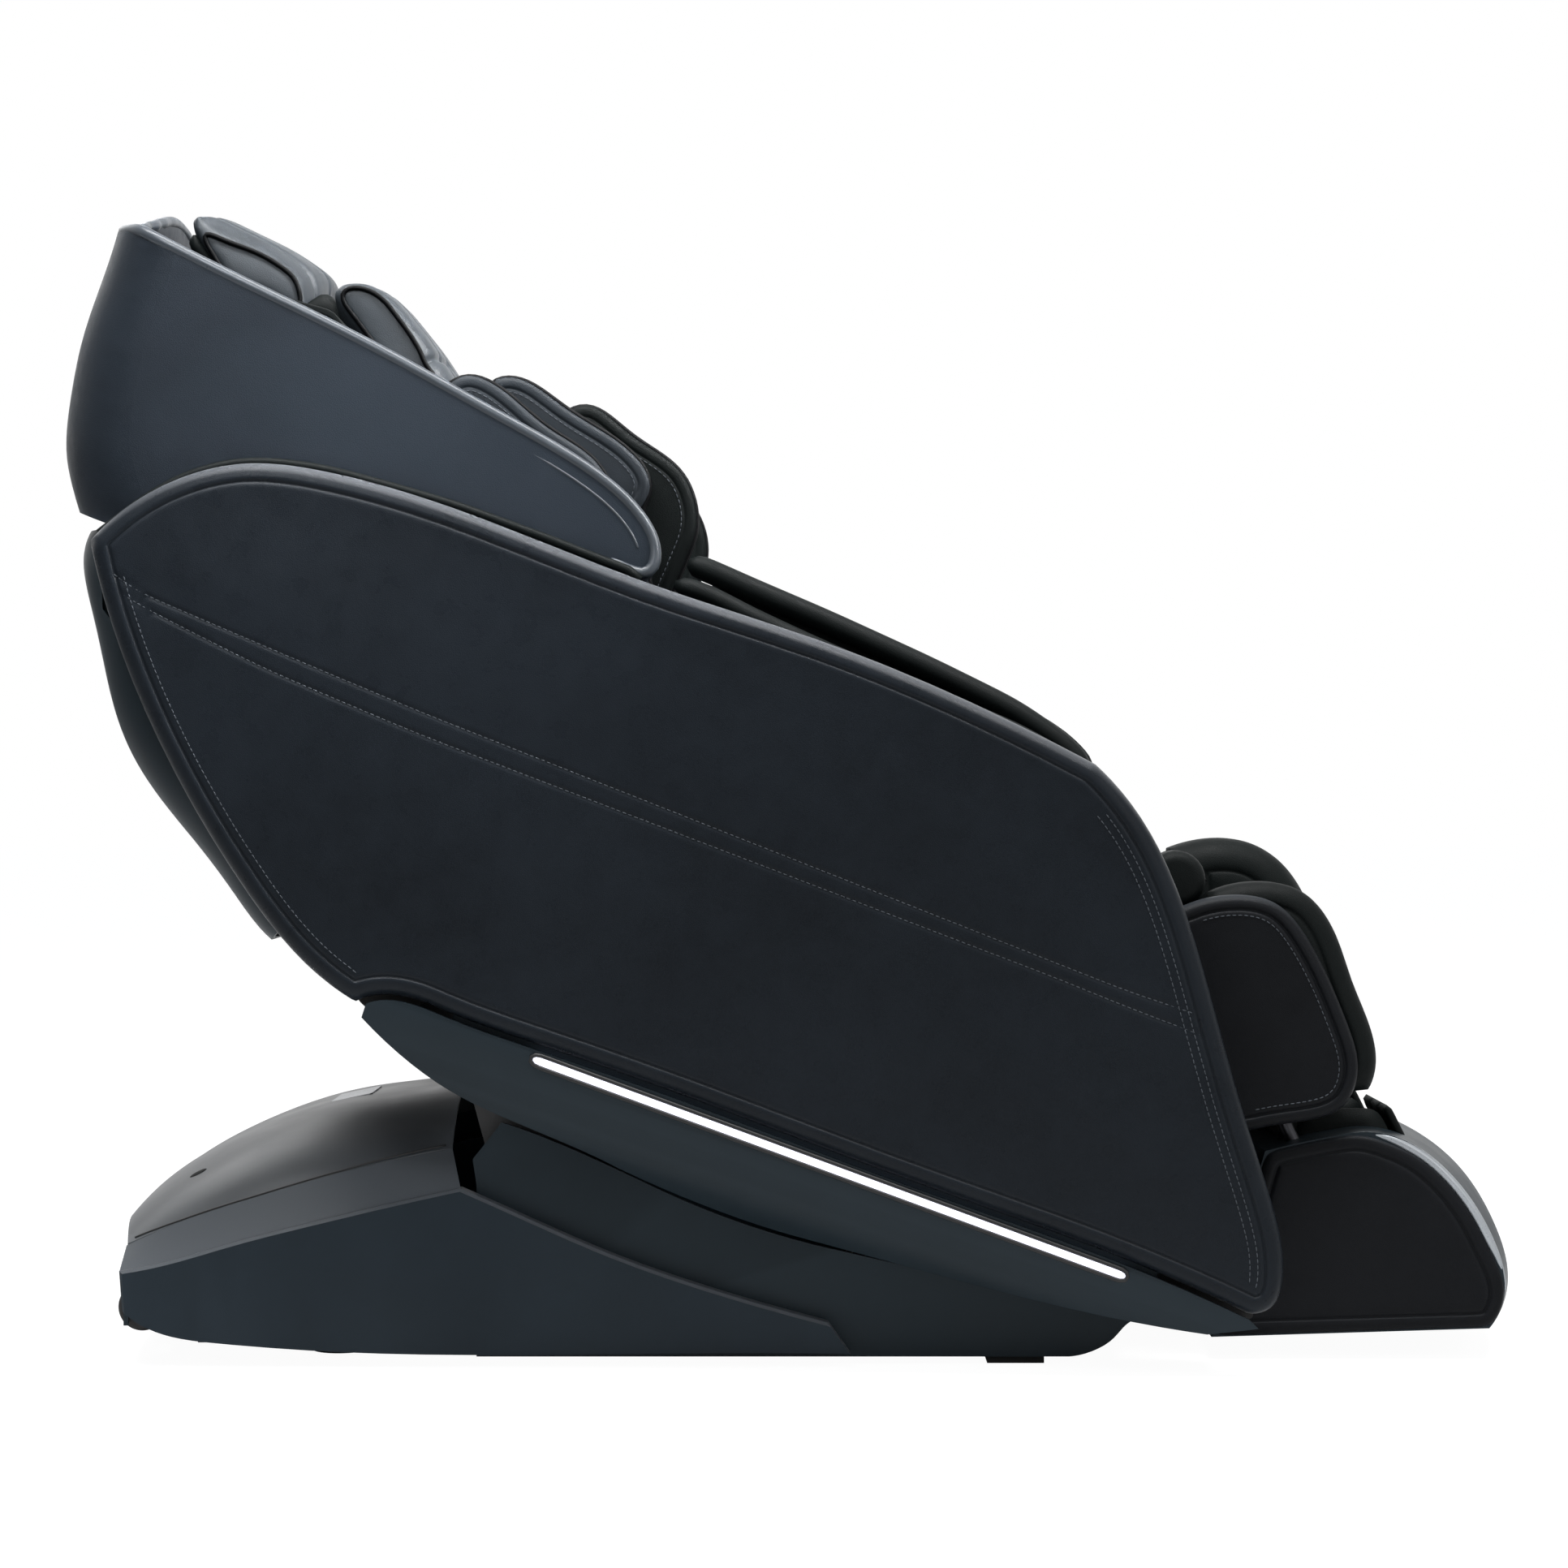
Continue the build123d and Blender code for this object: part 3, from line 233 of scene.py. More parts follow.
def leaf(name, loop, outer, inner, rings, grid, lines=(), line_rings=()):
    """A closed plate in the side view.

    outer and inner give its faces' y from points and their distance from the edge. Rings of points follow
    the edge, and rows of points follow the lines, so that seams there are sharp.
    """
    loop = resample(loop, EDGE_STEP, True)
    into = inward(smooth(loop, 3, True))
    points = [loop]
    for ring in rings:
        p = loop + into * ring
        points.append(p[(distance(p, loop) > ring * 0.97) & inside(p, loop)])
    for line in lines:
        p = resample(line, EDGE_STEP)
        side = left_of(unit(np.gradient(p, axis=0)))
        for offset in line_rings:
            q = p + side * offset
            points.append(q[inside(q, loop) & (distance(q, loop) > rings[-1])])
    low, high = loop.min(0), loop.max(0)
    rows = enumerate(np.arange(low[1], high[1], grid * ROW_RISE))
    columns = np.arange(low[0], high[0], grid)
    spread = np.array([(x + (k % 2) * grid / 2, z) for k, z in rows for x in columns])
    keep = inside(spread, loop)
    keep[keep] &= distance(spread[keep], loop) > rings[-1] + grid * 0.5
    for line in lines:
        keep[keep] &= distance(spread[keep], line, closed=False) > max(line_rings) + grid * 0.4
    points.append(spread[keep])
    flat = np.vstack(points)
    count = len(loop)
    edges = [(k, (k + 1) % count) for k in range(count)]
    verts, _, faces, _, _, _ = delaunay_2d_cdt([Vector(p) for p in flat], edges, [], 1, 1e-5)
    flat = np.array([tuple(v) for v in verts])
    depth = distance(flat, loop)
    n = len(flat)
    outside = np.stack([flat[:, 0], outer(flat, depth), flat[:, 1]], axis=1)
    back = np.stack([flat[:, 0], inner(flat, depth), flat[:, 1]], axis=1)
    rim = {}
    for face in faces:
        for a, b in zip(face, face[1:] + face[:1]):
            rim[(a, b)] = rim.get((a, b), 0) + 1
    walls = [(a, b, b + n, a + n) for a, b in rim if (b, a) not in rim]
    both = list(faces) + [tuple(k + n for k in reversed(f)) for f in faces]
    return mesh_object(name, np.vstack([outside, back]), both + walls)


def ring_faces(rings, sides, closed=False):
    """Quads that join each ring of points to the next one, and the last to the first when closed."""
    total = rings * sides
    faces = []
    for ring in range(rings if closed else rings - 1):
        for k in range(sides):
            a, b = ring * sides + k, ring * sides + (k + 1) % sides
            faces.append((a, b, (b + sides) % total, (a + sides) % total))
    return faces


def grid_faces(rows, count):
    """Quads between the points of a grid, row after row."""
    corners = [i * count + j for i in range(rows - 1) for j in range(count - 1)]
    return [(a, a + 1, a + count + 1, a + count) for a in corners]


def rounded(depth, roll):
    """0 at an edge, rising as a quarter circle to 1 at a distance roll."""
    return np.sqrt(np.clip(1 - (1 - np.clip(depth / roll, 0, 1)) ** 2, 0, 1))


def ease(value):
    """Smooth step from 0 to 1."""
    t = np.clip(value, 0, 1)
    return t * t * (3 - 2 * t)


def valley(gap, width):
    """1 on a line, falling to 0 either side of it."""
    return np.exp(-((gap / width) ** 2))


BOLSTER_STEP = 0.007


def bolster(name, loop, half, shoulder, pull=0.0, middle=0.0, stations=16, crown=None):
    """A side outline carried across from -half to half about middle, rounded over at its ends.

    The side that faces along crown is drawn back by its length at the ends, so the middle stands proud.
    """
    loop = resample(smooth(resample(loop, EDGE_STEP, True), 2, True), BOLSTER_STEP, True)
    into = inward(smooth(loop, 6, True))
    turn = np.linspace(0, math.pi / 2, 7)
    ends = [(half - shoulder + shoulder * math.sin(a), shoulder * (1 - math.cos(a))) for a in turn]
    flat = np.linspace(-(half - shoulder), half - shoulder, stations)[1:-1]
    rows = [(-y, inset) for y, inset in reversed(ends)] + [(y, 0.0) for y in flat] + ends
    verts = []
    count = len(loop)
    crown = np.zeros(2) if crown is None else crown
    back = crown * np.clip(-(into @ crown) / (np.linalg.norm(crown) + 1e-12), 0, 1)[:, None]
    for y, inset in rows:
        ring = loop + into * (inset + pull * (y / half) ** 2) - back * (y / half) ** 2
        verts.append(np.stack([ring[:, 0], np.full(count, middle + y), ring[:, 1]], axis=1))
    faces = ring_faces(len(rows), count)
    faces.append(tuple(range(count)))
    faces.append(tuple(reversed(range((len(rows) - 1) * count, len(rows) * count))))
    return mesh_object(name, np.vstack(verts), faces)


def relax(obj, rounds):
    """Eases an object's corners and applies its modifiers."""
    modifier = obj.modifiers.new("relax", "SMOOTH")
    modifier.factor = 0.5
    modifier.iterations = rounds
    apply_modifiers(obj)


def remesh(obj, voxel, rounds):
    """Even small faces all over a closed shape, its corners eased."""
    modifier = obj.modifiers.new("even", "REMESH")
    modifier.mode = "VOXEL"
    modifier.voxel_size = voxel
    relax(obj, rounds)


CLOTH_FRAMES = 20


def inflate(obj, pressure, cap, shrink=0.0):
    """Draws a remeshed cushion in by shrink, then swells it by at most cap, as cloth under pressure."""
    if shrink:
        set_coords(obj, coords(obj) - normals(obj) * shrink)
    start = coords(obj)
    cloth = obj.modifiers.new("cloth", "CLOTH")
    cloth.settings.use_pressure = True
    cloth.settings.uniform_pressure_force = pressure
    cloth.settings.effector_weights.gravity = 0
    cloth.settings.quality = 4
    cloth.settings.tension_stiffness = 22
    cloth.settings.compression_stiffness = 22
    cloth.settings.bending_stiffness = 1.2
    cloth.point_cache.frame_start, cloth.point_cache.frame_end = 1, CLOTH_FRAMES
    for moment in range(1, CLOTH_FRAMES + 1):
        bpy.context.scene.frame_set(moment)
    apply_modifiers(obj)
    moved = coords(obj) - start
    length = np.linalg.norm(moved, axis=1)[:, None] + 1e-12
    set_coords(obj, start + moved * np.minimum(1, cap / length))
    bpy.context.scene.frame_set(1)
    relax(obj, 3)


def refine(obj):
    """One more subdivision, for seams narrower than the simulated faces."""
    modifier = obj.modifiers.new("finer", "SUBSURF")
    modifier.levels = modifier.render_levels = 1
    apply_modifiers(obj)


def sew(obj, gaps, depth=0.004, width=0.005, face=None):
    """Presses seams into a cushion, on the side that looks along face.

    Each of gaps gives every point's distance from one seam.
    """
    p, n = coords(obj), normals(obj)
    press = np.zeros(len(p))
    for gap in gaps:
        press = np.maximum(press, valley(gap(p), width))
    if face is not None:
        press *= ease((n @ np.array(face) - 0.1) / 0.4)
    set_coords(obj, p - n * (depth * press)[:, None])


def tube(name, path, radius, closed=False, sides=8):
    """A round bead along a line, of one radius or one for each point."""
    p = np.array(path, float)
    radius = np.broadcast_to(radius, len(p))
    along = np.roll(p, -1, 0) - np.roll(p, 1, 0)
    if not closed:
        along[0], along[-1] = p[1] - p[0], p[-1] - p[-2]
    along = unit(along)
    up = np.array([0, 0, 1.0]) if abs(along[0][2]) < 0.9 else np.array([1.0, 0, 0])
    verts = []
    for k in range(len(p)):
        up = up - along[k] * (up @ along[k])
        up /= np.linalg.norm(up)
        side = np.cross(along[k], up)
        for s in range(sides):
            a = 2 * math.pi * s / sides
            verts.append(p[k] + radius[k] * (math.cos(a) * up + math.sin(a) * side))
    faces = ring_faces(len(p), sides, closed)
    if not closed:
        faces.append(tuple(range(sides)))
        faces.append(tuple(reversed(range(len(verts) - sides, len(verts)))))
    return mesh_object(name, verts, faces)


STITCH_PITCH = 0.0062
STITCH_LENGTH = 0.0046
THREAD_RADIUS = 0.00055
STITCH_SIDES = 5


def stitching(name, path):
    """A row of short thread stitches along a line, each thin at its ends."""
    p = resample(path, STITCH_PITCH)
    middle = (p[:-1] + p[1:]) / 2
    along = unit(p[1:] - p[:-1])
    up = np.cross(along, (0.0, 0.0, 1.0))
    up /= np.linalg.norm(up, axis=1)[:, None] + 1e-12
    side = np.cross(along, up)
    profile = [(-0.5, 0.25), (-0.34, 0.9), (0.0, 1.1), (0.34, 0.9), (0.5, 0.25)]
    verts, faces = [], []
    for share, thick in profile:
        for s in range(STITCH_SIDES):
            a = 2 * math.pi * s / STITCH_SIDES
            spoke = math.cos(a) * up + math.sin(a) * side
            verts.append(middle + along * STITCH_LENGTH * share + THREAD_RADIUS * thick * spoke)
    verts = np.stack(verts, axis=1)
    each = verts.shape[1]
    one = ring_faces(len(profile), STITCH_SIDES)
    one += [tuple(range(STITCH_SIDES)), tuple(reversed(range(each - STITCH_SIDES, each)))]
    for k in range(len(middle)):
        faces += [tuple(v + k * each for v in f) for f in one]
    return mesh_object(name, verts.reshape(-1, 3), faces)


# ---------------------------------------------------------------- materials
def material(name):
    """A new node material, with its node tree and its shader."""
    mat = bpy.data.materials.new(name)
    mat.use_nodes = True
    return mat, mat.node_tree, mat.node_tree.nodes["Principled BSDF"]


def put(node, socket, value):
    """Sets a constant on one of a node's inputs."""
    node.inputs[socket].default_value = value


def shade(colour, factor, lift=0.0):
    """A colour made darker or lighter."""
    return tuple(min(1, c * factor + lift) for c in colour)


def noise(tree, where, scale, detail=3.0, roughness=0.5):
    """Noise in the shared frame, in cells to the metre."""
    node = tree.nodes.new("ShaderNodeTexNoise")
    put(node, "Scale", scale)
    put(node, "Detail", detail)
    put(node, "Roughness", roughness)
    tree.links.new(where, node.inputs["Vector"])
    return node.outputs["Fac"]


def remap(tree, value, low, high, to_low, to_high):
    """A value's range turned into another."""
    node = tree.nodes.new("ShaderNodeMapRange")
    for socket, number in zip(("From Min", "From Max", "To Min", "To Max"), (low, high, to_low, to_high)):
        put(node, socket, number)
    tree.links.new(value, node.inputs["Value"])
    return node.outputs["Result"]


def mix(tree, factor, first, second):
    """Two colours mixed by a factor; a colour may be a socket."""
    node = tree.nodes.new("ShaderNodeMix")
    node.data_type = "RGBA"
    tree.links.new(factor, node.inputs["Factor"])
    for socket, colour in ((node.inputs[6], first), (node.inputs[7], second)):
        if isinstance(colour, bpy.types.NodeSocket):
            tree.links.new(colour, socket)
        else:
            socket.default_value = (*colour, 1)
    return node.outputs[2]


def bump(tree, height, strength, depth, before=None):
    """A bump node, on top of an earlier one."""
    node = tree.nodes.new("ShaderNodeBump")
    put(node, "Strength", strength)
    put(node, "Distance", depth)
    tree.links.new(height, node.inputs["Height"])
    if before is not None:
        tree.links.new(before, node.inputs["Normal"])
    return node.outputs["Normal"]


def place(tree):
    """The point that is shaded."""
    return tree.nodes.new("ShaderNodeTexCoord").outputs["Object"]


def surface(tree, output):
    """The normal or the pointiness of the surface."""
    return tree.nodes.new("ShaderNodeNewGeometry").outputs[output]


def painted_light_from_above(tree, base, low, high, colour):
    """Paints light from above: turns a colour into another one where the surface faces up."""
    split = tree.nodes.new("ShaderNodeSeparateXYZ")
    tree.links.new(surface(tree, "Normal"), split.inputs[0])
    return mix(tree, remap(tree, split.outputs["Z"], low, high, 0, 1), base, colour)


GRAINS_PER_METRE = 620


def leather(name, colour, rough, specular, grain=0.35, creases=0.2, wear=0.5, top=None):
    """Synthetic leather: pebbled, a little cloudy, lighter where edges rub, and painted lighter on top if a top
    colour is given, a painted highlight from light above.
    """
    mat, tree, shader = material(name)
    where = place(tree)
    cloud = noise(tree, where, 5.0, 4.0, 0.6)
    patch = noise(tree, where, 38.0, 3.0, 0.55)
    base = mix(tree, remap(tree, cloud, 0.3, 0.7, 0, 1), shade(colour, 0.80), shade(colour, 1.22))
    base = mix(tree, remap(tree, patch, 0.35, 0.75, 0, 0.28), base, shade(colour, 1.35))
    rubbed = remap(tree, surface(tree, "Pointiness"), 0.515, 0.58, 0, wear)
    base = mix(tree, rubbed, base, shade(colour, 2.1, 0.004))
    # painted highlight: up-facing parts take the top colour, standing in for light from above
    if top:
        base = painted_light_from_above(tree, base, 0.4, 0.95, top)
    tree.links.new(base, shader.inputs["Base Color"])
    tree.links.new(remap(tree, patch, 0.3, 0.7, rough - 0.06, rough + 0.07), shader.inputs["Roughness"])
    put(shader, "Specular IOR Level", specular)
    pebble = tree.nodes.new("ShaderNodeTexVoronoi")
    pebble.feature = "DISTANCE_TO_EDGE"
    put(pebble, "Scale", GRAINS_PER_METRE)
    put(pebble, "Randomness", 0.95)
    tree.links.new(where, pebble.inputs["Vector"])
    grains = remap(tree, pebble.outputs["Distance"], 0.0, 0.25, 0, 1)
    normal = bump(tree, grains, grain, 0.00025)
    normal = bump(tree, noise(tree, where, 24.0, 3.0, 0.5), creases, 0.0012, normal)
    tree.links.new(normal, shader.inputs["Normal"])
    return mat


def plastic(name, colour, rough, specular, texture=0.25, sloped=None):
    """Moulded plastic: a fine texture, faint flow marks, and painted lighter where it slopes up if a colour is
    given, a painted highlight from light above.
    """
    mat, tree, shader = material(name)
    where = place(tree)
    flow = noise(tree, where, 9.0, 5.0, 0.6)
    fine = noise(tree, where, 1500.0, 2.0, 0.6)
    base = mix(tree, remap(tree, flow, 0.35, 0.7, 0, 1), shade(colour, 0.9), shade(colour, 1.12))
    rubbed = remap(tree, surface(tree, "Pointiness"), 0.52, 0.6, 0, 0.4)
    base = mix(tree, rubbed, base, shade(colour, 2.0, 0.006))
    # painted highlight: faces that slope up take the lighter colour, standing in for light from above
    if sloped:
        base = painted_light_from_above(tree, base, 0.2, 0.4, sloped)
    tree.links.new(base, shader.inputs["Base Color"])
    tree.links.new(remap(tree, flow, 0.3, 0.7, rough - 0.05, rough + 0.06), shader.inputs["Roughness"])
    put(shader, "Specular IOR Level", specular)
    tree.links.new(bump(tree, fine, texture, 0.00012), shader.inputs["Normal"])
    return mat


def metal(name, colour, rough, metallic, stretch):
    """Metal with fine marks drawn out into lines: stretch is how much denser they lie along x, y and z."""
    mat, tree, shader = material(name)
    where = place(tree)
    scale = tree.nodes.new("ShaderNodeMapping")
    put(scale, "Scale", stretch)
    tree.links.new(where, scale.inputs["Vector"])
    marks = noise(tree, scale.outputs["Vector"], 420.0, 4.0, 0.6)
    cloud = noise(tree, where, 14.0, 3.0, 0.5)
    base = mix(tree, remap(tree, cloud, 0.3, 0.7, 0, 1), shade(colour, 0.85), shade(colour, 1.1))
    tree.links.new(base, shader.inputs["Base Color"])
    tree.links.new(remap(tree, marks, 0.3, 0.7, rough - 0.08, rough + 0.1), shader.inputs["Roughness"])
    put(shader, "Metallic", metallic)
    tree.links.new(bump(tree, marks, 0.2, 0.0001), shader.inputs["Normal"])
    return mat


def lit(name, colour, strength):
    """A lit diffuser, a little uneven along its length."""
    mat, tree, shader = material(name)
    cells = noise(tree, place(tree), 30.0, 1.0, 0.4)
    glow = mix(tree, remap(tree, cells, 0.3, 0.7, 0, 1), shade(colour, 0.97), colour)
    tree.links.new(glow, shader.inputs["Emission Color"])
    put(shader, "Emission Strength", strength)
    put(shader, "Base Color", (*colour, 1))
    put(shader, "Roughness", 0.4)
    return mat


MATERIALS = {}


def add_look(make, name, *values, **more):
    """Adds a material under its name."""
    MATERIALS[name] = make(name, *values, **more)


# painted highlight: the top colour lightens up-facing parts, such as the panels' rolled top edges, in place of
# light from above
add_look(leather, "leather_slate", (0.0066, 0.0088, 0.0118), 0.3, 0.09, top=(0.085, 0.09, 0.098))
add_look(leather, "leather_shell", (0.0098, 0.0132, 0.0178), 0.36, 0.09)
# painted shade: a darker copy of leather_slate for the calf and foot covers, with a painted highlight on top
add_look(leather, "leather_dark", (0.0054, 0.006, 0.0072), 0.36, 0.06, top=(0.026, 0.029, 0.033))
add_look(leather, "pad_black", (0.0022, 0.0034, 0.0034), 0.5, 0.08, 0.45, 0.3, 0.3)
add_look(leather, "pad_slate", (0.013, 0.0165, 0.0205), 0.4, 0.14, 0.4, 0.35)
# painted light: a lighter copy of pad_slate, standing in for light falling on the cushions' fronts
add_look(leather, "pad_pale", (0.025, 0.03, 0.035), 0.38, 0.3, 0.4, 0.45)
add_look(plastic, "plastic_slate", (0.0098, 0.015, 0.019), 0.36, 0.09)
# painted highlight: the base covers turn lighter where they slope up, in place of light from above
add_look(plastic, "cover_slate", (0.0098, 0.015, 0.02), 0.36, 0.09, sloped=(0.082, 0.09, 0.1))
# the lid's own pale grey, raised further as painted light in place of a lamp on the lid
add_look(plastic, "plastic_lid", (0.046, 0.051, 0.057), 0.34, 0.36, 0.04)
add_look(plastic, "plastic_black", (0.006, 0.0062, 0.0066), 0.45, 0.3)
add_look(lit, "light_strip", (0.86, 0.86, 1.0), 1.0)
add_look(metal, "badge_metal", (0.34, 0.35, 0.37), 0.34, 1.0, (1, 14, 1))
add_look(plastic, "frame_paint", (0.01, 0.01, 0.011), 0.38, 0.4, 0.5)
add_look(metal, "dark_steel", (0.045, 0.045, 0.05), 0.34, 1.0, (1, 1, 12))
add_look(plastic, "rubber_black", (0.008, 0.008, 0.008), 0.75, 0.2, 0.6)
add_look(plastic, "wheel_black", (0.009, 0.009, 0.0095), 0.5, 0.3)
add_look(leather, "thread", (0.048, 0.055, 0.064), 0.6, 0.2, 0.2, 0.1, 0.0)
add_look(leather, "piping", (0.0012, 0.0014, 0.0018), 0.42, 0.08, 0.25, 0.1, 0.0)
# painted highlight: a lighter, shinier copy of leather_shell for the shell's rim roll and seam bead
add_look(leather, "shell_roll", (0.026, 0.032, 0.039), 0.33, 0.42, 0.2, 0.1, 0.2)
# painted reflection: a pale metal look for the foot beads, which are leather, standing in for the pale edge along
# the foot's front
add_look(metal, "edge_strip", (0.3, 0.32, 0.34), 0.32, 0.6, (1, 10, 1))
for node, obj in NODES.items():
    obj.data.materials.clear()
    obj.data.materials.append(MATERIALS["cover_slate" if "base_cover" in node else SLOT[node]])


# ---------------------------------------------------------------- pieces
def dress(obj, slot, body, stands_for=(), look=None):
    """Gives a piece its material, its body and the CAD nodes it stands for."""
    obj.data.materials.clear()
    obj.data.materials.append(MATERIALS[look or slot])
    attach(obj, body)
    if stands_for:
        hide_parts(*stands_for)


def pair(obj, slot, body, node=None, look=None, shared=()):
    """Dresses a right-hand piece and its left-hand twin. Names start with right_.

    Each stands for its own side's node, or both stand for the shared ones.
    """
    twin = mirrored(obj, obj.name.replace("right_", "left_", 1))
    for piece, side in ((obj, "right_"), (twin, "left_")):
        dress(piece, slot, body, (side + node,) if node else shared, look)


def level(line, y):
    """A side-view line at one y."""
    return np.stack([line[:, 0], np.full(len(line), y), line[:, 1]], axis=1)


def on_face(line, height):
    """A side-view line lifted onto a face whose y is given by height."""
    return np.stack([line[:, 0], height(line), line[:, 1]], axis=1)


def parallel(loop, gap, low, high):
    """The stretch of a closed line, drawn in by a gap, that runs from near low to near high."""
    loop = resample(loop, EDGE_STEP, True)
    line = smooth(loop + inward(smooth(loop, 6, True)) * gap, 3, True)
    first = np.linalg.norm(line - low, axis=1).argmin()
    last = np.linalg.norm(line - high, axis=1).argmin()
    return line[first : last + 1] if first <= last else np.vstack([line[first:], line[: last + 1]])


def from_ends(line):
    """How many points away a line's nearer end is, for each point."""
    count = np.arange(len(line))
    return np.minimum(count, count[::-1])


def opened(line):
    """What is left of a closed line, from one side of its longest gap round to the other."""
    gap = np.linalg.norm(np.roll(line, -1, 0) - line, axis=1).argmax()
    return np.roll(line, -gap - 1, 0)


# Side panels: padded leaves with a rolled rim, a seam inside it and two lines of stitching down the side.
def side_panels():
    loop = section("right_side_panel", -0.375)
    upper = [(-676, 812), (-657, 796), (-573, 760), (-477, 719), (-365, 672), (273, 420), (344, 392)]
    lower = [(-668, 792), (-657, 784), (-597, 753), (-525, 717), (-453, 686), (-365, 649), (273, 405)]
    upper = curve(drawn(upper + [(412, 369)]))
    lower = curve(drawn(lower + [(344, 376), (420, 347)]))

    seam_in = 0.0195

    def outer(p, depth):
        roll = 0.3695 + 0.0165 * rounded(depth, 0.016)
        swell = 0.0035 * ease((depth - 0.02) / 0.16)
        seam = 0.0022 * valley(depth - seam_in, 0.0016)
        rows = np.minimum(distance(p, upper, False), distance(p, lower, False))
        return -(roll + swell - seam - 0.0011 * valley(rows, 0.0022))

    def inner(p, depth):
        return -(0.3665 - 0.0025 * rounded(depth, 0.006))

    rings = [0.0006, 0.0018, 0.0035, 0.0056, 0.0082, 0.011, 0.0138, 0.016, 0.0176, 0.0186, seam_in, 0.0204]
    rings += [0.0215, 0.0235, 0.0265, 0.031, 0.037, 0.045]
    offsets = (-0.0065, -0.0042, -0.0026, -0.0013, 0.0, 0.0013, 0.0026, 0.0042, 0.0065)
    panel = leaf("right_panel_cover", loop, outer, inner, rings, 0.014, [upper, lower], offsets)
    pair(panel, "leather_slate", "seat", "side_panel")
    flat = resample(loop, EDGE_STEP, True)

    def top(line):
        return outer(line, distance(line, flat)) - 0.0002

    threads = {
        "upper": upper,
        "lower": lower,
        "rear": parallel(loop, 0.0275, *drawn([(-690, 805), (-440, 392)])),
        "front": parallel(loop, 0.0275, *drawn([(478, 80), (350, 590)])),
        "front_inner": parallel(loop, 0.0355, *drawn([(470, 90), (345, 590)])),
    }
    for name, line in threads.items():
        row = stitching(f"right_panel_thread_{name}", on_face(line, top))
        pair(row, "leather_slate", "seat", look="thread")


side_panels()


# Back shell: the CAD hood, with a rolled leather rim along its edge and a seam bead inside the rim.
SHELL_SIDE = -0.3525


def shell_rim():
    """The rim's line from the right-hand tip up the side, and the rest of it over to the middle."""
    wall = resample(section("back_shell", SHELL_SIDE), 0.004, True)
    tip = wall[:, 0].argmax()
    crest = wall[:, 1].argmax()
    run = [wall[tip]]
    k = tip
    while k != crest:
        k = (k + 1) % len(wall)
        run.append(wall[k])
    over = []
    for y in np.linspace(-0.345, 0.0, 40):
        cut = section("back_shell", y)
        top = cut[cut[:, 1] > cut[:, 1].max() - 0.003]
        over.append((top[:, 0].mean(), y, cut[:, 1].max()))
    return level(np.array(run), SHELL_SIDE), np.array(over)


def shell_dressing():
    side, over = shell_rim()
    under = drawn([(-176, 826), (-160, 818), (-145, 812), (-135, 814), (-130, 824)])
    deep = SHELL_SIDE - 0.0045 * ease(np.linspace(0.0, 2.5, len(under)))
    half = np.vstack([on_face(under, lambda q: deep), side[2:], over])
    whole = np.vstack([half, (half * (1, -1, 1))[::-1][1:]])
    whole = resample(smooth(resample(whole, 0.006), 3), 0.007)
    # painted highlight: the rim takes the lighter copy of the shell leather
    rim = tube("shell_rim_roll", whole, 0.0063, sides=14)
    dress(rim, "leather_shell", "back", look="shell_roll")
    line = smooth(resample(side[:, [0, 2]], 0.006), 6)
    outline = section("back_shell", SHELL_SIDE)
    row = line + left_of(unit(np.gradient(line, axis=0))) * 0.0165
    row = row[inside(row, outline) & (distance(row, outline) > 0.015) & (row[:, 0] > -0.36)]
    row = smooth(row, 4)[2:-1]
    fade = ease(np.abs(row[:, 0] - row[:, 0].min()) / 0.12)
    bead = tube("right_shell_seam", on_face(row, lambda q: -0.3536 - 0.0026 * fade), 0.0016)
    pair(bead, "leather_shell", "back", look="shell_roll")


def shell_gap_painted_shadow():
    """A black bead on the panel's top edge, painted shadow in the gap to the shell."""
    line = drawn([(-694, 854), (-650, 888), (-610, 912), (-560, 926), (-520, 927), (-463, 919), (-400, 902)])
    line = np.vstack([line, drawn([(-334, 883), (-238, 848), (-190, 829), (-158, 817)])])
    line = resample(smooth(resample(line, 0.01), 5), 0.007)
    line = np.vstack([line, drawn([(-146, 807)])])
    # painted shadow: a black bead along the gap between panel and shell
    gap_shadow_bead = tube("right_shell_seal", level(line, -0.3632), 0.0048)
    pair(gap_shadow_bead, "pad_black", "seat")


shell_dressing()
shell_gap_painted_shadow()


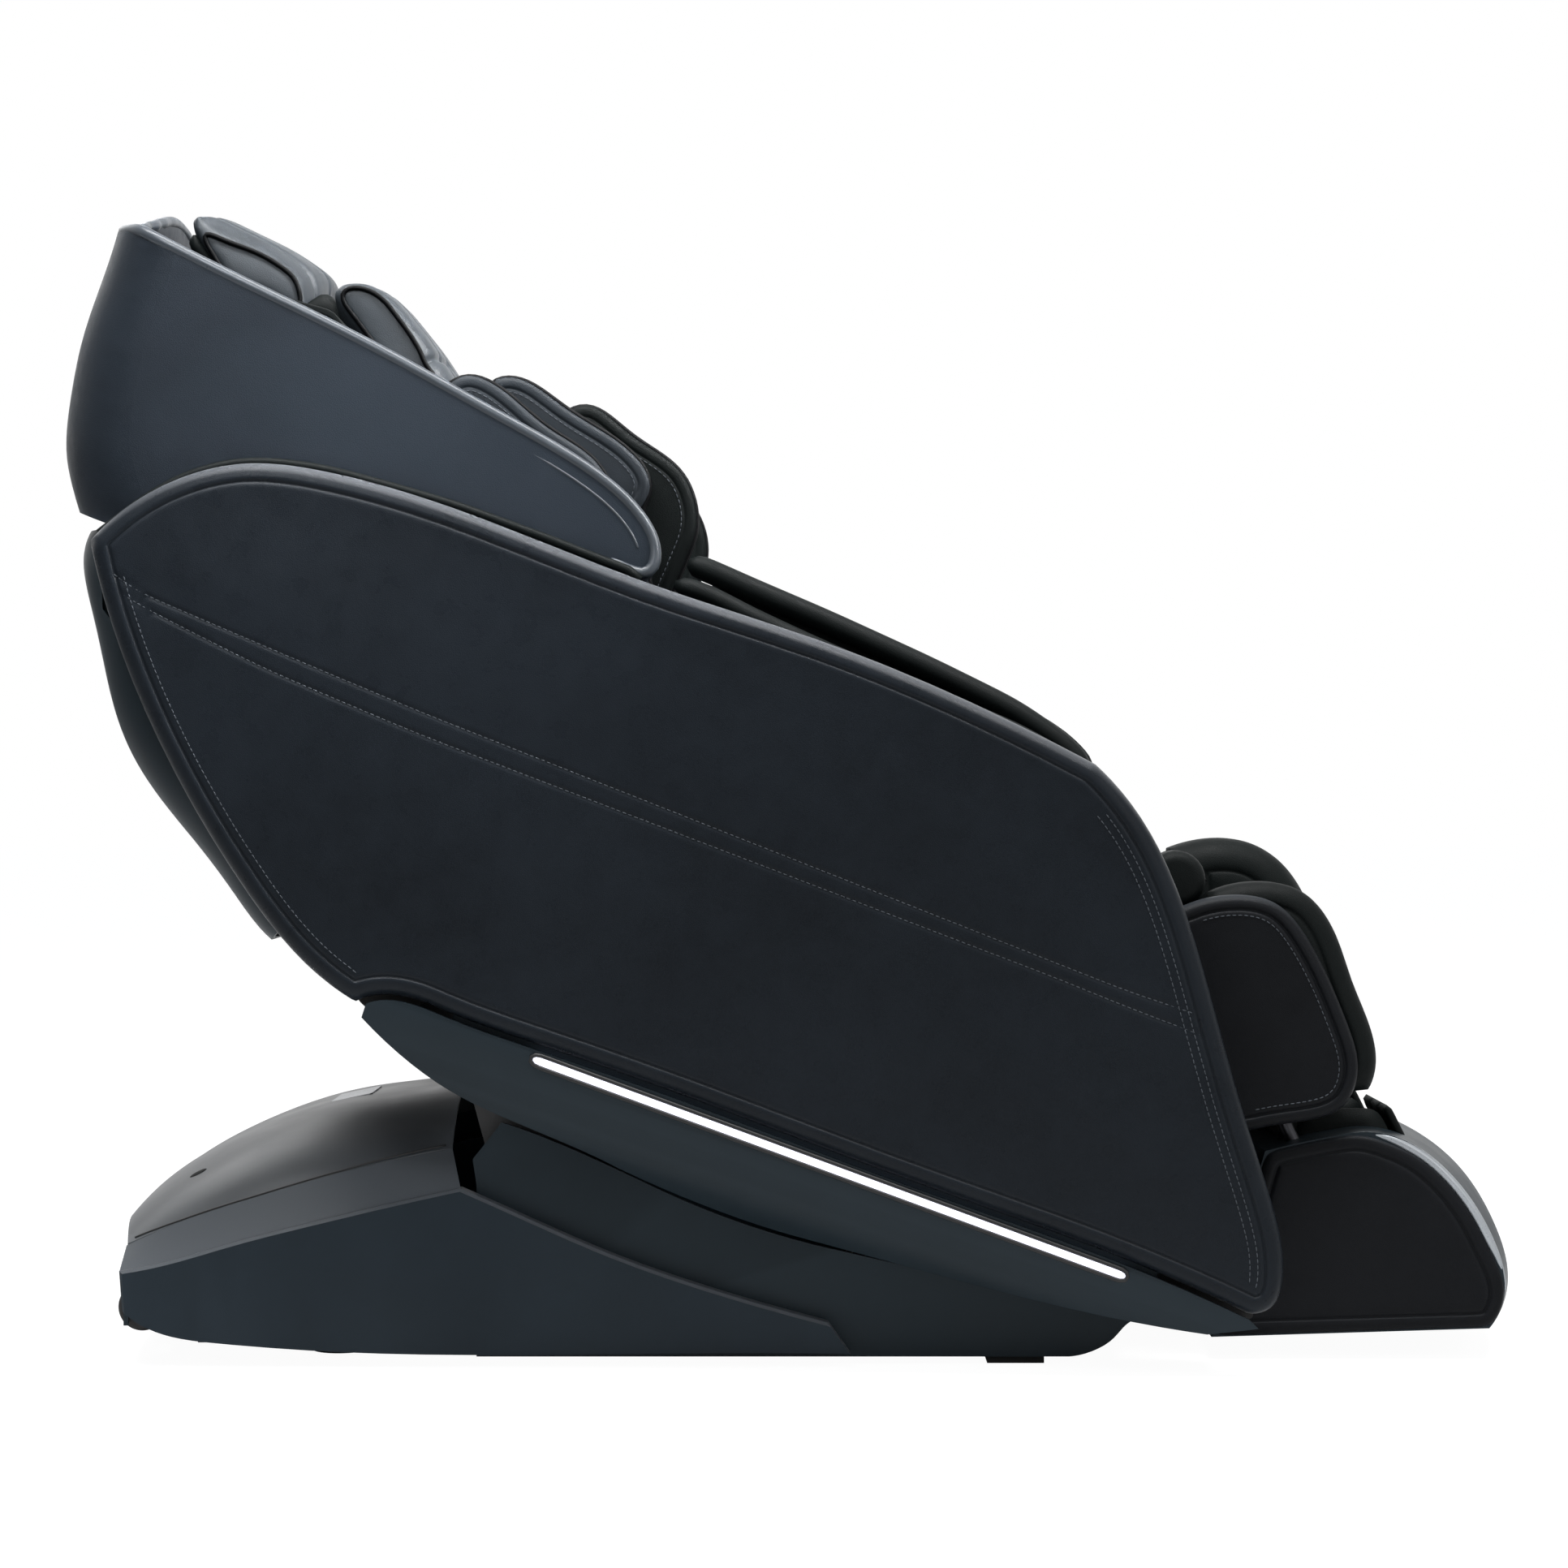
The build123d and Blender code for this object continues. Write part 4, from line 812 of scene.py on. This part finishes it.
# Shoulder wings: stuffed upright cushions with a welt sewn round each face.
def wing(which, near, far, crown=0.002):
    """One wing on each side, between near and far millimetres from the middle."""
    node = f"{which}_shoulder_wing"
    loop = section("right_" + node, -(near + far) / 2000)
    middle, half = (near + far) / 2000, (far - near) / 2000 - 0.001

    def face(sign):
        def y(p, depth):
            puff = half * (0.66 + 0.34 * rounded(depth, 0.008)) + crown * ease((depth - 0.008) / 0.06)
            return -(middle + sign * (puff - 0.0010 * valley(depth - 0.0125, 0.0014)))

        return y

    rings = [0.0005, 0.0014, 0.0028, 0.0045, 0.0065, 0.0085, 0.0105, 0.0116, 0.0125, 0.0134]
    rings += [0.015, 0.019, 0.026]
    obj = leaf(f"right_{which}_wing", loop, face(1), face(-1), rings, 0.011)
    slot = SLOT["right_" + node]
    pair(obj, slot, "back", node)
    flat = resample(loop, EDGE_STEP, True)
    line = smooth(flat + inward(smooth(flat, 6, True)) * 0.0155, 5, True)
    line = opened(line[distance(line, flat) > 0.0140])
    row = on_face(line, lambda q: face(1)(q, distance(q, flat)) - 0.0002)
    thread = stitching(f"right_{which}_wing_thread", row)
    pair(thread, slot, "back", look="thread")
    edge = smooth(resample(loop, 0.007, True), 3, True)
    for side, sign in (("near", 1), ("far", -1)):
        row = level(edge, -(middle + sign * half * 0.64))
        pair(tube(f"right_{which}_wing_welt_{side}", row, 0.0027, True), slot, "back", look="piping")


wing("outer", 300, 336)
wing("middle", 260, 296)
wing("inner", 216, 256)

# Back and head: both cushions lie on the back's slope, measured from its foot.
SLOPE = math.radians(55)
UP = np.array([-math.cos(SLOPE), 0, math.sin(SLOPE)])
OUT = np.array([math.sin(SLOPE), 0, math.cos(SLOPE)])
FOOT = np.array([0.030 - MIDDLE_X, 0, 0.480])


def up_back(p):
    """How far up the back's slope each point is."""
    return (p - FOOT) @ UP


def lengthways(*sides):
    """Gaps to seams that run along a cushion, at a distance either side of its middle."""
    return [lambda p, y=y: np.abs(np.abs(p[:, 1]) - y) for y in sides]


def welts(name, cushion, y):
    """Dark piping round both side edges of a finished cushion."""
    line = smooth(resample(section(cushion, -y + 0.003), 0.006, True), 3, True)
    for side, at in (("right", -y), ("left", y)):
        bead = tube(f"{side}_{name}", level(line, at), 0.0026, True)
        dress(bead, "pad_slate", "back", look="piping")


def back_and_head():
    pad = bolster("back_cushion", section("back_pad", 0.0), 0.191, 0.010, 0.001, crown=OUT[[0, 2]] * 0.004)
    remesh(pad, 0.007, 2)
    inflate(pad, 4.0, 0.006)
    refine(pad)
    strip = 0.062
    sew(pad, lengthways(strip, 0.128), 0.006, 0.0055, OUT)
    levels = (0.235, 0.40, 0.565, 0.70)
    off_strip = [lambda p, s=s: np.abs(up_back(p) - s) + 0.05 * (np.abs(p[:, 1]) < strip) for s in levels]
    sew(pad, off_strip, 0.0045, 0.005, OUT)
    # the back cushion takes the lighter copy of pad_slate, painted light
    dress(pad, "pad_slate", "back", ["back_pad"], "pad_pale")
    welts("back_cushion_welt", pad, 0.187)
    crown = OUT[[0, 2]] * 0.022
    pillow = bolster("head_cushion", section("head_pillow", 0.0), 0.147, 0.010, 0.001, crown=crown)
    remesh(pillow, 0.006, 2)
    inflate(pillow, 4.5, 0.006)
    refine(pillow)
    sew(pillow, lengthways(0.105, 0.045), 0.004, 0.0045, OUT)
    # the head cushion takes the lighter copy of pad_slate, painted light
    dress(pillow, "pad_slate", "back", ["head_pillow"], "pad_pale")
    welts("head_cushion_welt", pillow, 0.143)
    backing = [(-640, 1172), (-644, 1186), (-638, 1203), (-602, 1148), (-526, 1112), (-510, 1122)]
    backing += [(-494, 1134), (-450, 1080), (-462, 1072), (-500, 1094), (-535, 1110), (-580, 1134)]
    roll = bolster("neck_backing", anticlockwise(drawn(backing)), 0.139, 0.012)
    remesh(roll, 0.007, 1)
    dress(roll, "pad_black", "back")
    liner = bolster("back_lining", section("back_liner", 0.0), 0.339, 0.0015)
    dress(liner, "pad_black", "back", ["back_liner"])


def seat():
    """The seat cushion, a little hollow in the middle, with seams along and across it."""
    cushion = bolster("seat_pad", section("seat_cushion", 0.0), 0.227, 0.03, 0.003)
    remesh(cushion, 0.0075, 5)
    inflate(cushion, 4.0, 0.010, 0.001)
    refine(cushion)
    p = coords(cushion)
    p[:, 2] -= 0.010 * ease((0.20 - np.abs(p[:, 1])) / 0.14) * ease((p[:, 2] - 0.45) / 0.04)
    set_coords(cushion, p)
    sew(cushion, lengthways(0.001, 0.125), 0.006, 0.0055, (0, 0, 1))
    sew(cushion, [lambda p, x=x: np.abs(p[:, 0] - x) for x in (0.105, 0.215)], 0.005, 0.005, (0, 0, 1))
    dress(cushion, "pad_black", "seat", ["seat_cushion"])


def armrests():
    """Each armrest, stuffed and sewn, with a roll along each edge of its top."""
    arm = bpy.data.objects.new("right_arm_pad", NODES["right_armrest"].data.copy())
    bpy.context.scene.collection.objects.link(arm)
    remesh(arm, 0.005, 3)
    inflate(arm, 1.6, 0.004)
    top = curve(drawn([(-60, 806), (49, 765), (186, 707), (282, 652), (318, 618)]))
    sew(arm, [lambda p: np.abs(distance(p[:, [0, 2]], top, False) - 0.014)], 0.0025, 0.004)
    pair(arm, "pad_black", "seat", "armrest")
    upper = [(-99, 828), (-84, 823), (-40, 803), (42, 768), (147, 720), (238, 675), (296, 634), (311, 612)]
    lower = [(-112, 804), (-96, 801), (-72, 791), (-40, 773), (49, 732), (147, 690), (238, 652), (290, 622)]
    lower.append((306, 604))
    for name, line, y, thick in (("upper", upper, -0.300, 0.0125), ("lower", lower, -0.3345, 0.0105)):
        line = curve(drawn(line), 0.008)
        radius = thick * (0.35 + 0.65 * rounded(from_ends(line) / 2.5, 1.0))
        roll = tube(f"right_arm_{name}_roll", level(line, y), radius, sides=18)
        pair(roll, "pad_black", "seat")


back_and_head()
seat()
armrests()


# Calf unit: rolled outer panels, side pads, the ridge between the knees and pads behind the calves.
def calf_unit():
    loop = section("right_calf_panel", -0.27)

    def outer(p, depth):
        roll = 0.2665 + 0.0115 * rounded(depth, 0.011) + 0.002 * ease((depth - 0.015) / 0.06)
        return -(roll - 0.0030 * valley(depth - 0.0148, 0.0020))

    def inner(p, depth):
        return -(0.2645 - 0.002 * rounded(depth, 0.005))

    rings = [0.0006, 0.0018, 0.0036, 0.0058, 0.0083, 0.0108, 0.0126, 0.0139, 0.0148, 0.0157, 0.017, 0.0195]
    rings += [0.023, 0.028, 0.035]
    panel = leaf("right_calf_cover", loop, outer, inner, rings, 0.011)
    # painted shade: the calf covers take the darker copy of leather_slate
    pair(panel, "leather_slate", "leg_rest", "calf_panel", "leather_dark")
    flat = resample(loop, EDGE_STEP, True)
    line = parallel(loop, 0.021, *drawn([(492, 241), (430, 476)]))
    row = on_face(line, lambda q: outer(q, distance(q, flat)) - 0.0002)
    pair(stitching("right_calf_thread", row), "leather_slate", "leg_rest", look="thread")


def stuffed(name, loop, middle, half, roll, crown, seam=0.0):
    """A cushion that stands in the side view, round at its edges and crowned on both faces."""

    def face(sign):
        def y(p, depth):
            puff = half * (0.30 + 0.70 * rounded(depth, roll)) + crown * ease((depth - roll * 0.8) / 0.08)
            press = 0.002 * valley(depth - seam, 0.002) if seam else 0
            return middle + sign * (puff - press)

        return y

    rings = [roll * share for share in (0.03, 0.09, 0.18, 0.29, 0.42, 0.56, 0.71, 0.86, 1.0)]
    if seam:
        rings += [seam - 0.0015, seam, seam + 0.0015, seam + 0.004]
    return leaf(name, loop, face(1), face(-1), sorted(rings), 0.011)


def calf_pads():
    wall = section("calf_side_pads", -0.233)
    pad = stuffed("right_calf_wall_pad", wall, -0.2332, 0.0262, 0.020, 0.002, 0.024)
    pair(pad, "pad_black", "leg_rest", shared=["calf_side_pads"])
    ridge = stuffed("knee_ridge_pad", section("knee_divider", 0.0), 0.0, 0.0435, 0.030, 0.004, 0.036)
    dress(ridge, "pad_black", "leg_rest", ["knee_divider"])
    back = bolster("right_calf_back_pad", section("calf_back_pads", -0.125), 0.0775, 0.016, 0.001, -0.1255)
    remesh(back, 0.005, 3)
    inflate(back, 3.0, 0.005, 0.001)
    sew(back, [lambda p, y=y: np.abs(p[:, 1] + y) for y in (0.098, 0.153)], 0.004, 0.0045, (1, 0, 0.4))
    pair(back, "pad_black", "leg_rest", shared=["calf_back_pads"])


calf_unit()
calf_pads()


WELL_MIDDLE = -0.123


def foot_unit():
    """Linings of the two foot wells: a nubbed sole mat, toe and heel pads and thin side pads."""
    nubs = grid_mat("right_sole_mat", 0.5095 - MIDDLE_X, 0.6865 - MIDDLE_X, -0.1945, -0.0515, 0.0642, 0.0684)
    pair(nubs, "pad_black", "foot_rest", shared=["foot_mats"])
    toe = drawn([(687, 72), (704, 111), (689, 168), (642, 262), (634, 258), (679, 164), (694, 112), (679, 76)])
    heel = drawn([(508, 72), (533, 262), (543, 258), (518, 74)])
    for name, loop in (("toe", toe), ("heel", heel)):
        pad = bolster(f"right_{name}_pad", loop, 0.0715, 0.004, 0.0, WELL_MIDDLE, 20)
        p = coords(pad)
        channel = valley(np.abs(np.abs(p[:, 1] - WELL_MIDDLE) - 0.024), 0.004)
        into = np.array([-1.0 if name == "toe" else 1.0, 0, 0])
        set_coords(pad, p - into * (0.0022 * channel * (normals(pad) @ into > 0.3))[:, None])
        pair(pad, "pad_black", "foot_rest")
    wall = drawn([(520, 78), (542, 256), (630, 256), (676, 162), (691, 112), (677, 78)])
    wall = smooth(resample(wall, 0.006, True), 4, True)
    for name, middle in (("outer", -0.1930), ("inner", -0.0530)):
        pad = stuffed(f"right_well_{name}_pad", wall, middle, 0.0027, 0.010, 0.0008)
        pair(pad, "pad_black", "foot_rest")


NUB_PITCH = 0.016
NUB_RADIUS = 0.0052


def grid_mat(name, x0, x1, y0, y1, low, high):
    """A thin mat with staggered rows of rounded nubs."""
    nx, ny = 72, 58
    xs, ys = np.linspace(x0, x1, nx), np.linspace(y0, y1, ny)
    gx, gy = np.meshgrid(xs, ys, indexing="ij")
    row = np.floor((gx - x0) / NUB_PITCH)
    shift = (row % 2) * 0.008
    cx = x0 + (row + 0.5) * NUB_PITCH
    cy = y0 + (np.floor((gy - y0 - shift) / NUB_PITCH) + 0.5) * NUB_PITCH + shift
    nub = np.clip(1 - ((gx - cx) ** 2 + (gy - cy) ** 2) / NUB_RADIUS**2, 0, 1)
    edge = np.minimum(np.minimum(gx - x0, x1 - gx), np.minimum(gy - y0, y1 - gy))
    top = low + (high - low) * (0.25 + 0.75 * rounded(edge, 0.004)) + 0.0032 * np.sqrt(nub) * (edge > 0.006)
    upper = np.stack([gx, gy, top], axis=2).reshape(-1, 3)
    lower = np.stack([gx, gy, np.full_like(top, low)], axis=2).reshape(-1, 3)
    n = len(upper)
    faces = []
    for a, b, c, d in grid_faces(nx, ny):
        faces += [(a, b, c, d), (a + n, d + n, c + n, b + n)]
    ring = [i * ny for i in range(nx)] + [(nx - 1) * ny + j for j in range(1, ny)]
    ring += [i * ny + ny - 1 for i in range(nx - 2, -1, -1)] + [j for j in range(ny - 2, 0, -1)]
    for a, b in zip(ring, ring[1:] + ring[:1]):
        faces.append((a, b, b + n, a + n))
    return mesh_object(name, np.vstack([upper, lower]), faces)


def knee_flaps():
    """Soft black flaps that cover the knee pivot between the seat and the calf pads."""
    line = [(360, 494), (376, 507), (391, 517), (406, 522), (421, 520), (435, 511), (448, 497)]
    line = curve(drawn(line), 0.004)
    across = np.linspace(-0.204, -0.047, 34)
    n = len(line)
    loose = ease(np.linspace(0, 2, n)) * ease(np.linspace(2, 0, n))
    verts = []
    for y in across:
        ripple = 0.0018 * np.sin((y + 0.2) * 150) * loose
        verts += [(x, y, z + rise) for (x, z), rise in zip(line, ripple)]
    faces = grid_faces(len(across), n)
    flap = mesh_object("right_knee_flap", verts, faces)
    twin = mirrored(flap, "left_knee_flap")
    for piece in (flap, twin):
        piece.data.materials.clear()
        piece.data.materials.append(MATERIALS["pad_black"])
        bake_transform(piece)


def foot_sides():
    """Rolled covers on the foot unit's sides in a darker copy of the panel leather, painted shade, with a bead
    between each cover and the rounded front that is painted pale as a reflection.
    """
    outline = smooth(resample(section("foot_shell", -0.250), EDGE_STEP, True), 2, True)
    outline = resample(outline, EDGE_STEP, True)
    front = ease((outline[:, 0] - 0.56) / 0.06) * ease((outline[:, 1] - 0.06) / 0.07)
    loop = smooth(outline + inward(smooth(outline, 4, True)) * (0.0015 + 0.0075 * front)[:, None], 2, True)

    def outer(p, depth):
        return -(0.2560 + 0.0055 * rounded(depth, 0.011) - 0.0026 * valley(depth - 0.0150, 0.0020))

    def inner(p, depth):
        return np.full(len(p), -0.2545)

    rings = [0.0006, 0.0018, 0.0036, 0.0058, 0.0083, 0.0108, 0.0128, 0.014, 0.015, 0.016, 0.0172, 0.02, 0.026]
    cover = leaf("right_foot_cover", loop, outer, inner, rings, 0.012)
    # painted shade: the foot covers take the darker copy of leather_slate
    pair(cover, "leather_slate", "foot_rest", look="leather_dark")
    line = opened(outline[front > 0.02])
    share = ease(from_ends(line) / 14)
    line = line + inward(line) * (0.001 + 0.0042 * share)[:, None]
    radius = 0.0012 + 0.0040 * share
    bead = tube("right_foot_bead", level(line[1:-1], -0.2535), radius[1:-1], sides=14)
    pair(bead, "leather_slate", "foot_rest", look="edge_strip")


def dropped(node, points):
    """Points of the floor plan moved straight down onto a CAD node."""
    mesh = NODES[node].data
    tree = BVHTree.FromPolygons([v.co for v in mesh.vertices], [tuple(f.vertices) for f in mesh.polygons])
    return np.array([tuple(tree.ray_cast(Vector((x, y, 1.0)), Vector((0, 0, -1)))[0]) for x, y in points])


def lid_details():
    """The parting line along each side of the base's lid and a small plug near its rear."""
    plan = resample(drawn([(-352, -262), (-463, -264), (-547, -265), (-631, -264), (-676, -262)]), 0.008)
    line = dropped("base_lid", plan) + (0, 0, 0.0001)
    pair(tube("right_lid_line", line, 0.0012, sides=6), "plastic_black", "base")
    count = 24
    turn = np.linspace(0, 2 * math.pi, count, endpoint=False)
    rings = [(1.0, 0.0), (0.9, 0.0006), (0.6, 0.0010), (0.2, 0.0012)]
    verts = []
    for size, rise in rings:
        ring = np.stack([-0.645 + 0.009 * size * np.cos(turn), -0.190 + 0.005 * size * np.sin(turn)], axis=1)
        verts.append(dropped("base_lid", ring) + (0, 0, rise))
    top = tuple(range((len(rings) - 1) * count, len(rings) * count))
    plug = mesh_object("lid_plug", np.vstack(verts), ring_faces(len(rings), count) + [top])
    dress(plug, "rubber_black", "base")


def strip_lips():
    """Black lips that frame the light strips."""
    face = float(coords(NODES["right_light_strip"])[:, 1].min())
    edge = smooth(resample(section("right_light_strip", face + 0.001), 0.006, True), 1, True)
    pair(tube("right_strip_lip", level(edge, face - 0.0004), 0.0022, True), "plastic_black", "seat")


def trim_gaskets():
    """Black gaskets behind both ends of the lower trims."""
    rear = [(-444, 396), (-430, 374), (-412, 364), (-380, 366), (-360, 384), (-392, 402)]
    front = [(340, 128), (342, 100), (400, 74), (458, 50), (482, 56), (470, 78), (400, 106)]
    for name, corners in (("rear", rear), ("front", front)):
        loop = anticlockwise(smooth(resample(drawn(corners), 0.006, True), 2, True))
        faces = [lambda p, d, y=y: np.full(len(p), y) for y in (-0.3440, -0.3400)]
        pair(leaf(f"right_trim_gasket_{name}", loop, *faces, [0.002], 0.012), "rubber_black", "seat")


def knee_rolls():
    """Stuffed rolls round the knee hinge, between the armrests and the calf pads."""
    turn = np.linspace(0, 2 * math.pi, 60, endpoint=False)
    circle = np.array([0.387, 0.500]) + 0.031 * np.stack([np.cos(turn), np.sin(turn)], axis=1)
    roll = bolster("right_knee_roll", circle, 0.0285, 0.012, 0.0, -0.2325, 12)
    pair(roll, "pad_black", "leg_rest")


knee_rolls()
trim_gaskets()
foot_unit()
foot_sides()
knee_flaps()
lid_details()
strip_lips()


# ---------------------------------------------------------------- stage, light and camera
SKY_COLOUR = (0.90, 0.95, 1)
SKY_STRENGTH = 0.24
FLOOR_COLOUR = (0.86, 0.86, 0.86)
FLOOR_HALF = 30
FLOOR_GLOW = 1.20
FLOOR_GLOW_SHARE = 0.8
CAMERA_DISTANCE = 4.0
CAMERA_HEIGHT = 0.60
SENSOR_WIDTH = 36
FOCAL_LENGTH = 82.38


def area_light(name, position, target, size, power, colour=(1, 1, 1), spread=180):
    """A rectangular lamp that looks from a position to a target; its spread is in degrees."""
    lamp = bpy.data.lights.new(name, "AREA")
    lamp.shape = "RECTANGLE"
    lamp.size, lamp.size_y = size
    lamp.energy = power
    lamp.color = colour
    lamp.spread = math.radians(spread)
    obj = bpy.data.objects.new(name, lamp)
    bpy.context.scene.collection.objects.link(obj)
    obj.location = position
    obj.rotation_euler = (Vector(target) - Vector(position)).to_track_quat("-Z", "Y").to_euler()


def combine(tree, operation, first, second):
    """Arithmetic on a socket and on another one or a number."""
    node = tree.nodes.new("ShaderNodeMath")
    node.operation = operation
    tree.links.new(first, node.inputs[0])
    if isinstance(second, float):
        put(node, 1, second)
    else:
        tree.links.new(second, node.inputs[1])
    return node.outputs[0]


def mix_shaders(tree, share, first, second, out):
    """Sends a blend of two shaders to an output node."""
    blend = tree.nodes.new("ShaderNodeMixShader")
    for k, link in enumerate((share, first.outputs[0], second.outputs[0])):
        tree.links.new(link, blend.inputs[k])
    tree.links.new(blend.outputs[0], out.inputs[0])


def backdrop_world():
    """White to the camera and in reflections; a plain, softer sky for the light itself."""
    world = bpy.data.worlds.new("studio")
    bpy.context.scene.world = world
    world.use_nodes = True
    tree = world.node_tree
    tree.nodes.clear()
    out = tree.nodes.new("ShaderNodeOutputWorld")
    seen = tree.nodes.new("ShaderNodeBackground")
    light = tree.nodes.new("ShaderNodeBackground")
    put(seen, "Color", (1, 1, 1, 1))
    put(light, "Color", (*SKY_COLOUR, 1))
    put(light, "Strength", SKY_STRENGTH)
    path = tree.nodes.new("ShaderNodeLightPath").outputs
    share = combine(tree, "MAXIMUM", path["Is Camera Ray"], path["Is Transmission Ray"])
    share = combine(tree, "MAXIMUM", share, path["Is Glossy Ray"])
    mix_shaders(tree, share, light, seen, out)


def floor():
    """A pale floor that runs out of sight and keeps the chair's shadow."""
    verts = [(-FLOOR_HALF, -FLOOR_HALF, 0), (FLOOR_HALF, -FLOOR_HALF, 0)]
    verts += [(FLOOR_HALF, FLOOR_HALF, 0), (-FLOOR_HALF, FLOOR_HALF, 0)]
    obj = mesh_object("floor", verts, [(0, 1, 2, 3)])
    obj.location.z = -0.0005
    mat, tree, shader = material("floor")
    put(shader, "Base Color", (*FLOOR_COLOUR, 1))
    put(shader, "Roughness", 0.9)
    put(shader, "Specular IOR Level", 0.0)
    glow = tree.nodes.new("ShaderNodeEmission")
    put(glow, "Color", (1, 1, 1, 1))
    put(glow, "Strength", FLOOR_GLOW)
    path = tree.nodes.new("ShaderNodeLightPath").outputs
    share = combine(tree, "MULTIPLY", path["Is Camera Ray"], FLOOR_GLOW_SHARE)
    mix_shaders(tree, share, shader, glow, tree.nodes["Material Output"])
    obj.data.materials.append(mat)


backdrop_world()
floor()
area_light("overhead", (0.0, -0.75, 2.9), (0, -0.1, 0.6), (3.2, 0.5), 150)
area_light("key", (-0.62, -1.20, 1.60), (-0.56, -0.38, 0.98), (0.4, 0.4), 1.7, (0.92, 0.96, 1.0), 70)
area_light("front", (1.6, -0.9, 2.3), (-0.42, -0.1, 1.08), (0.6, 0.6), 5, (0.97, 0.98, 1.0), 32)
area_light("fill", (2.2, -2.2, 1.6), (0.3, -0.3, 0.6), (1.6, 1.6), 12, (1.0, 0.97, 0.94))
area_light("behind", (-1.8, 1.8, 2.4), (-0.3, 0, 0.7), (2.0, 1.2), 16)

camera = bpy.data.objects.new("camera", bpy.data.cameras.new("camera"))
bpy.context.scene.collection.objects.link(camera)
camera.location = (-MIDDLE_X, -CAMERA_DISTANCE, CAMERA_HEIGHT)
camera.rotation_euler = (math.pi / 2, 0, 0)
camera.data.sensor_width = SENSOR_WIDTH
camera.data.lens = FOCAL_LENGTH
bpy.context.scene.camera = camera
bpy.context.scene.view_settings.view_transform = "Standard"
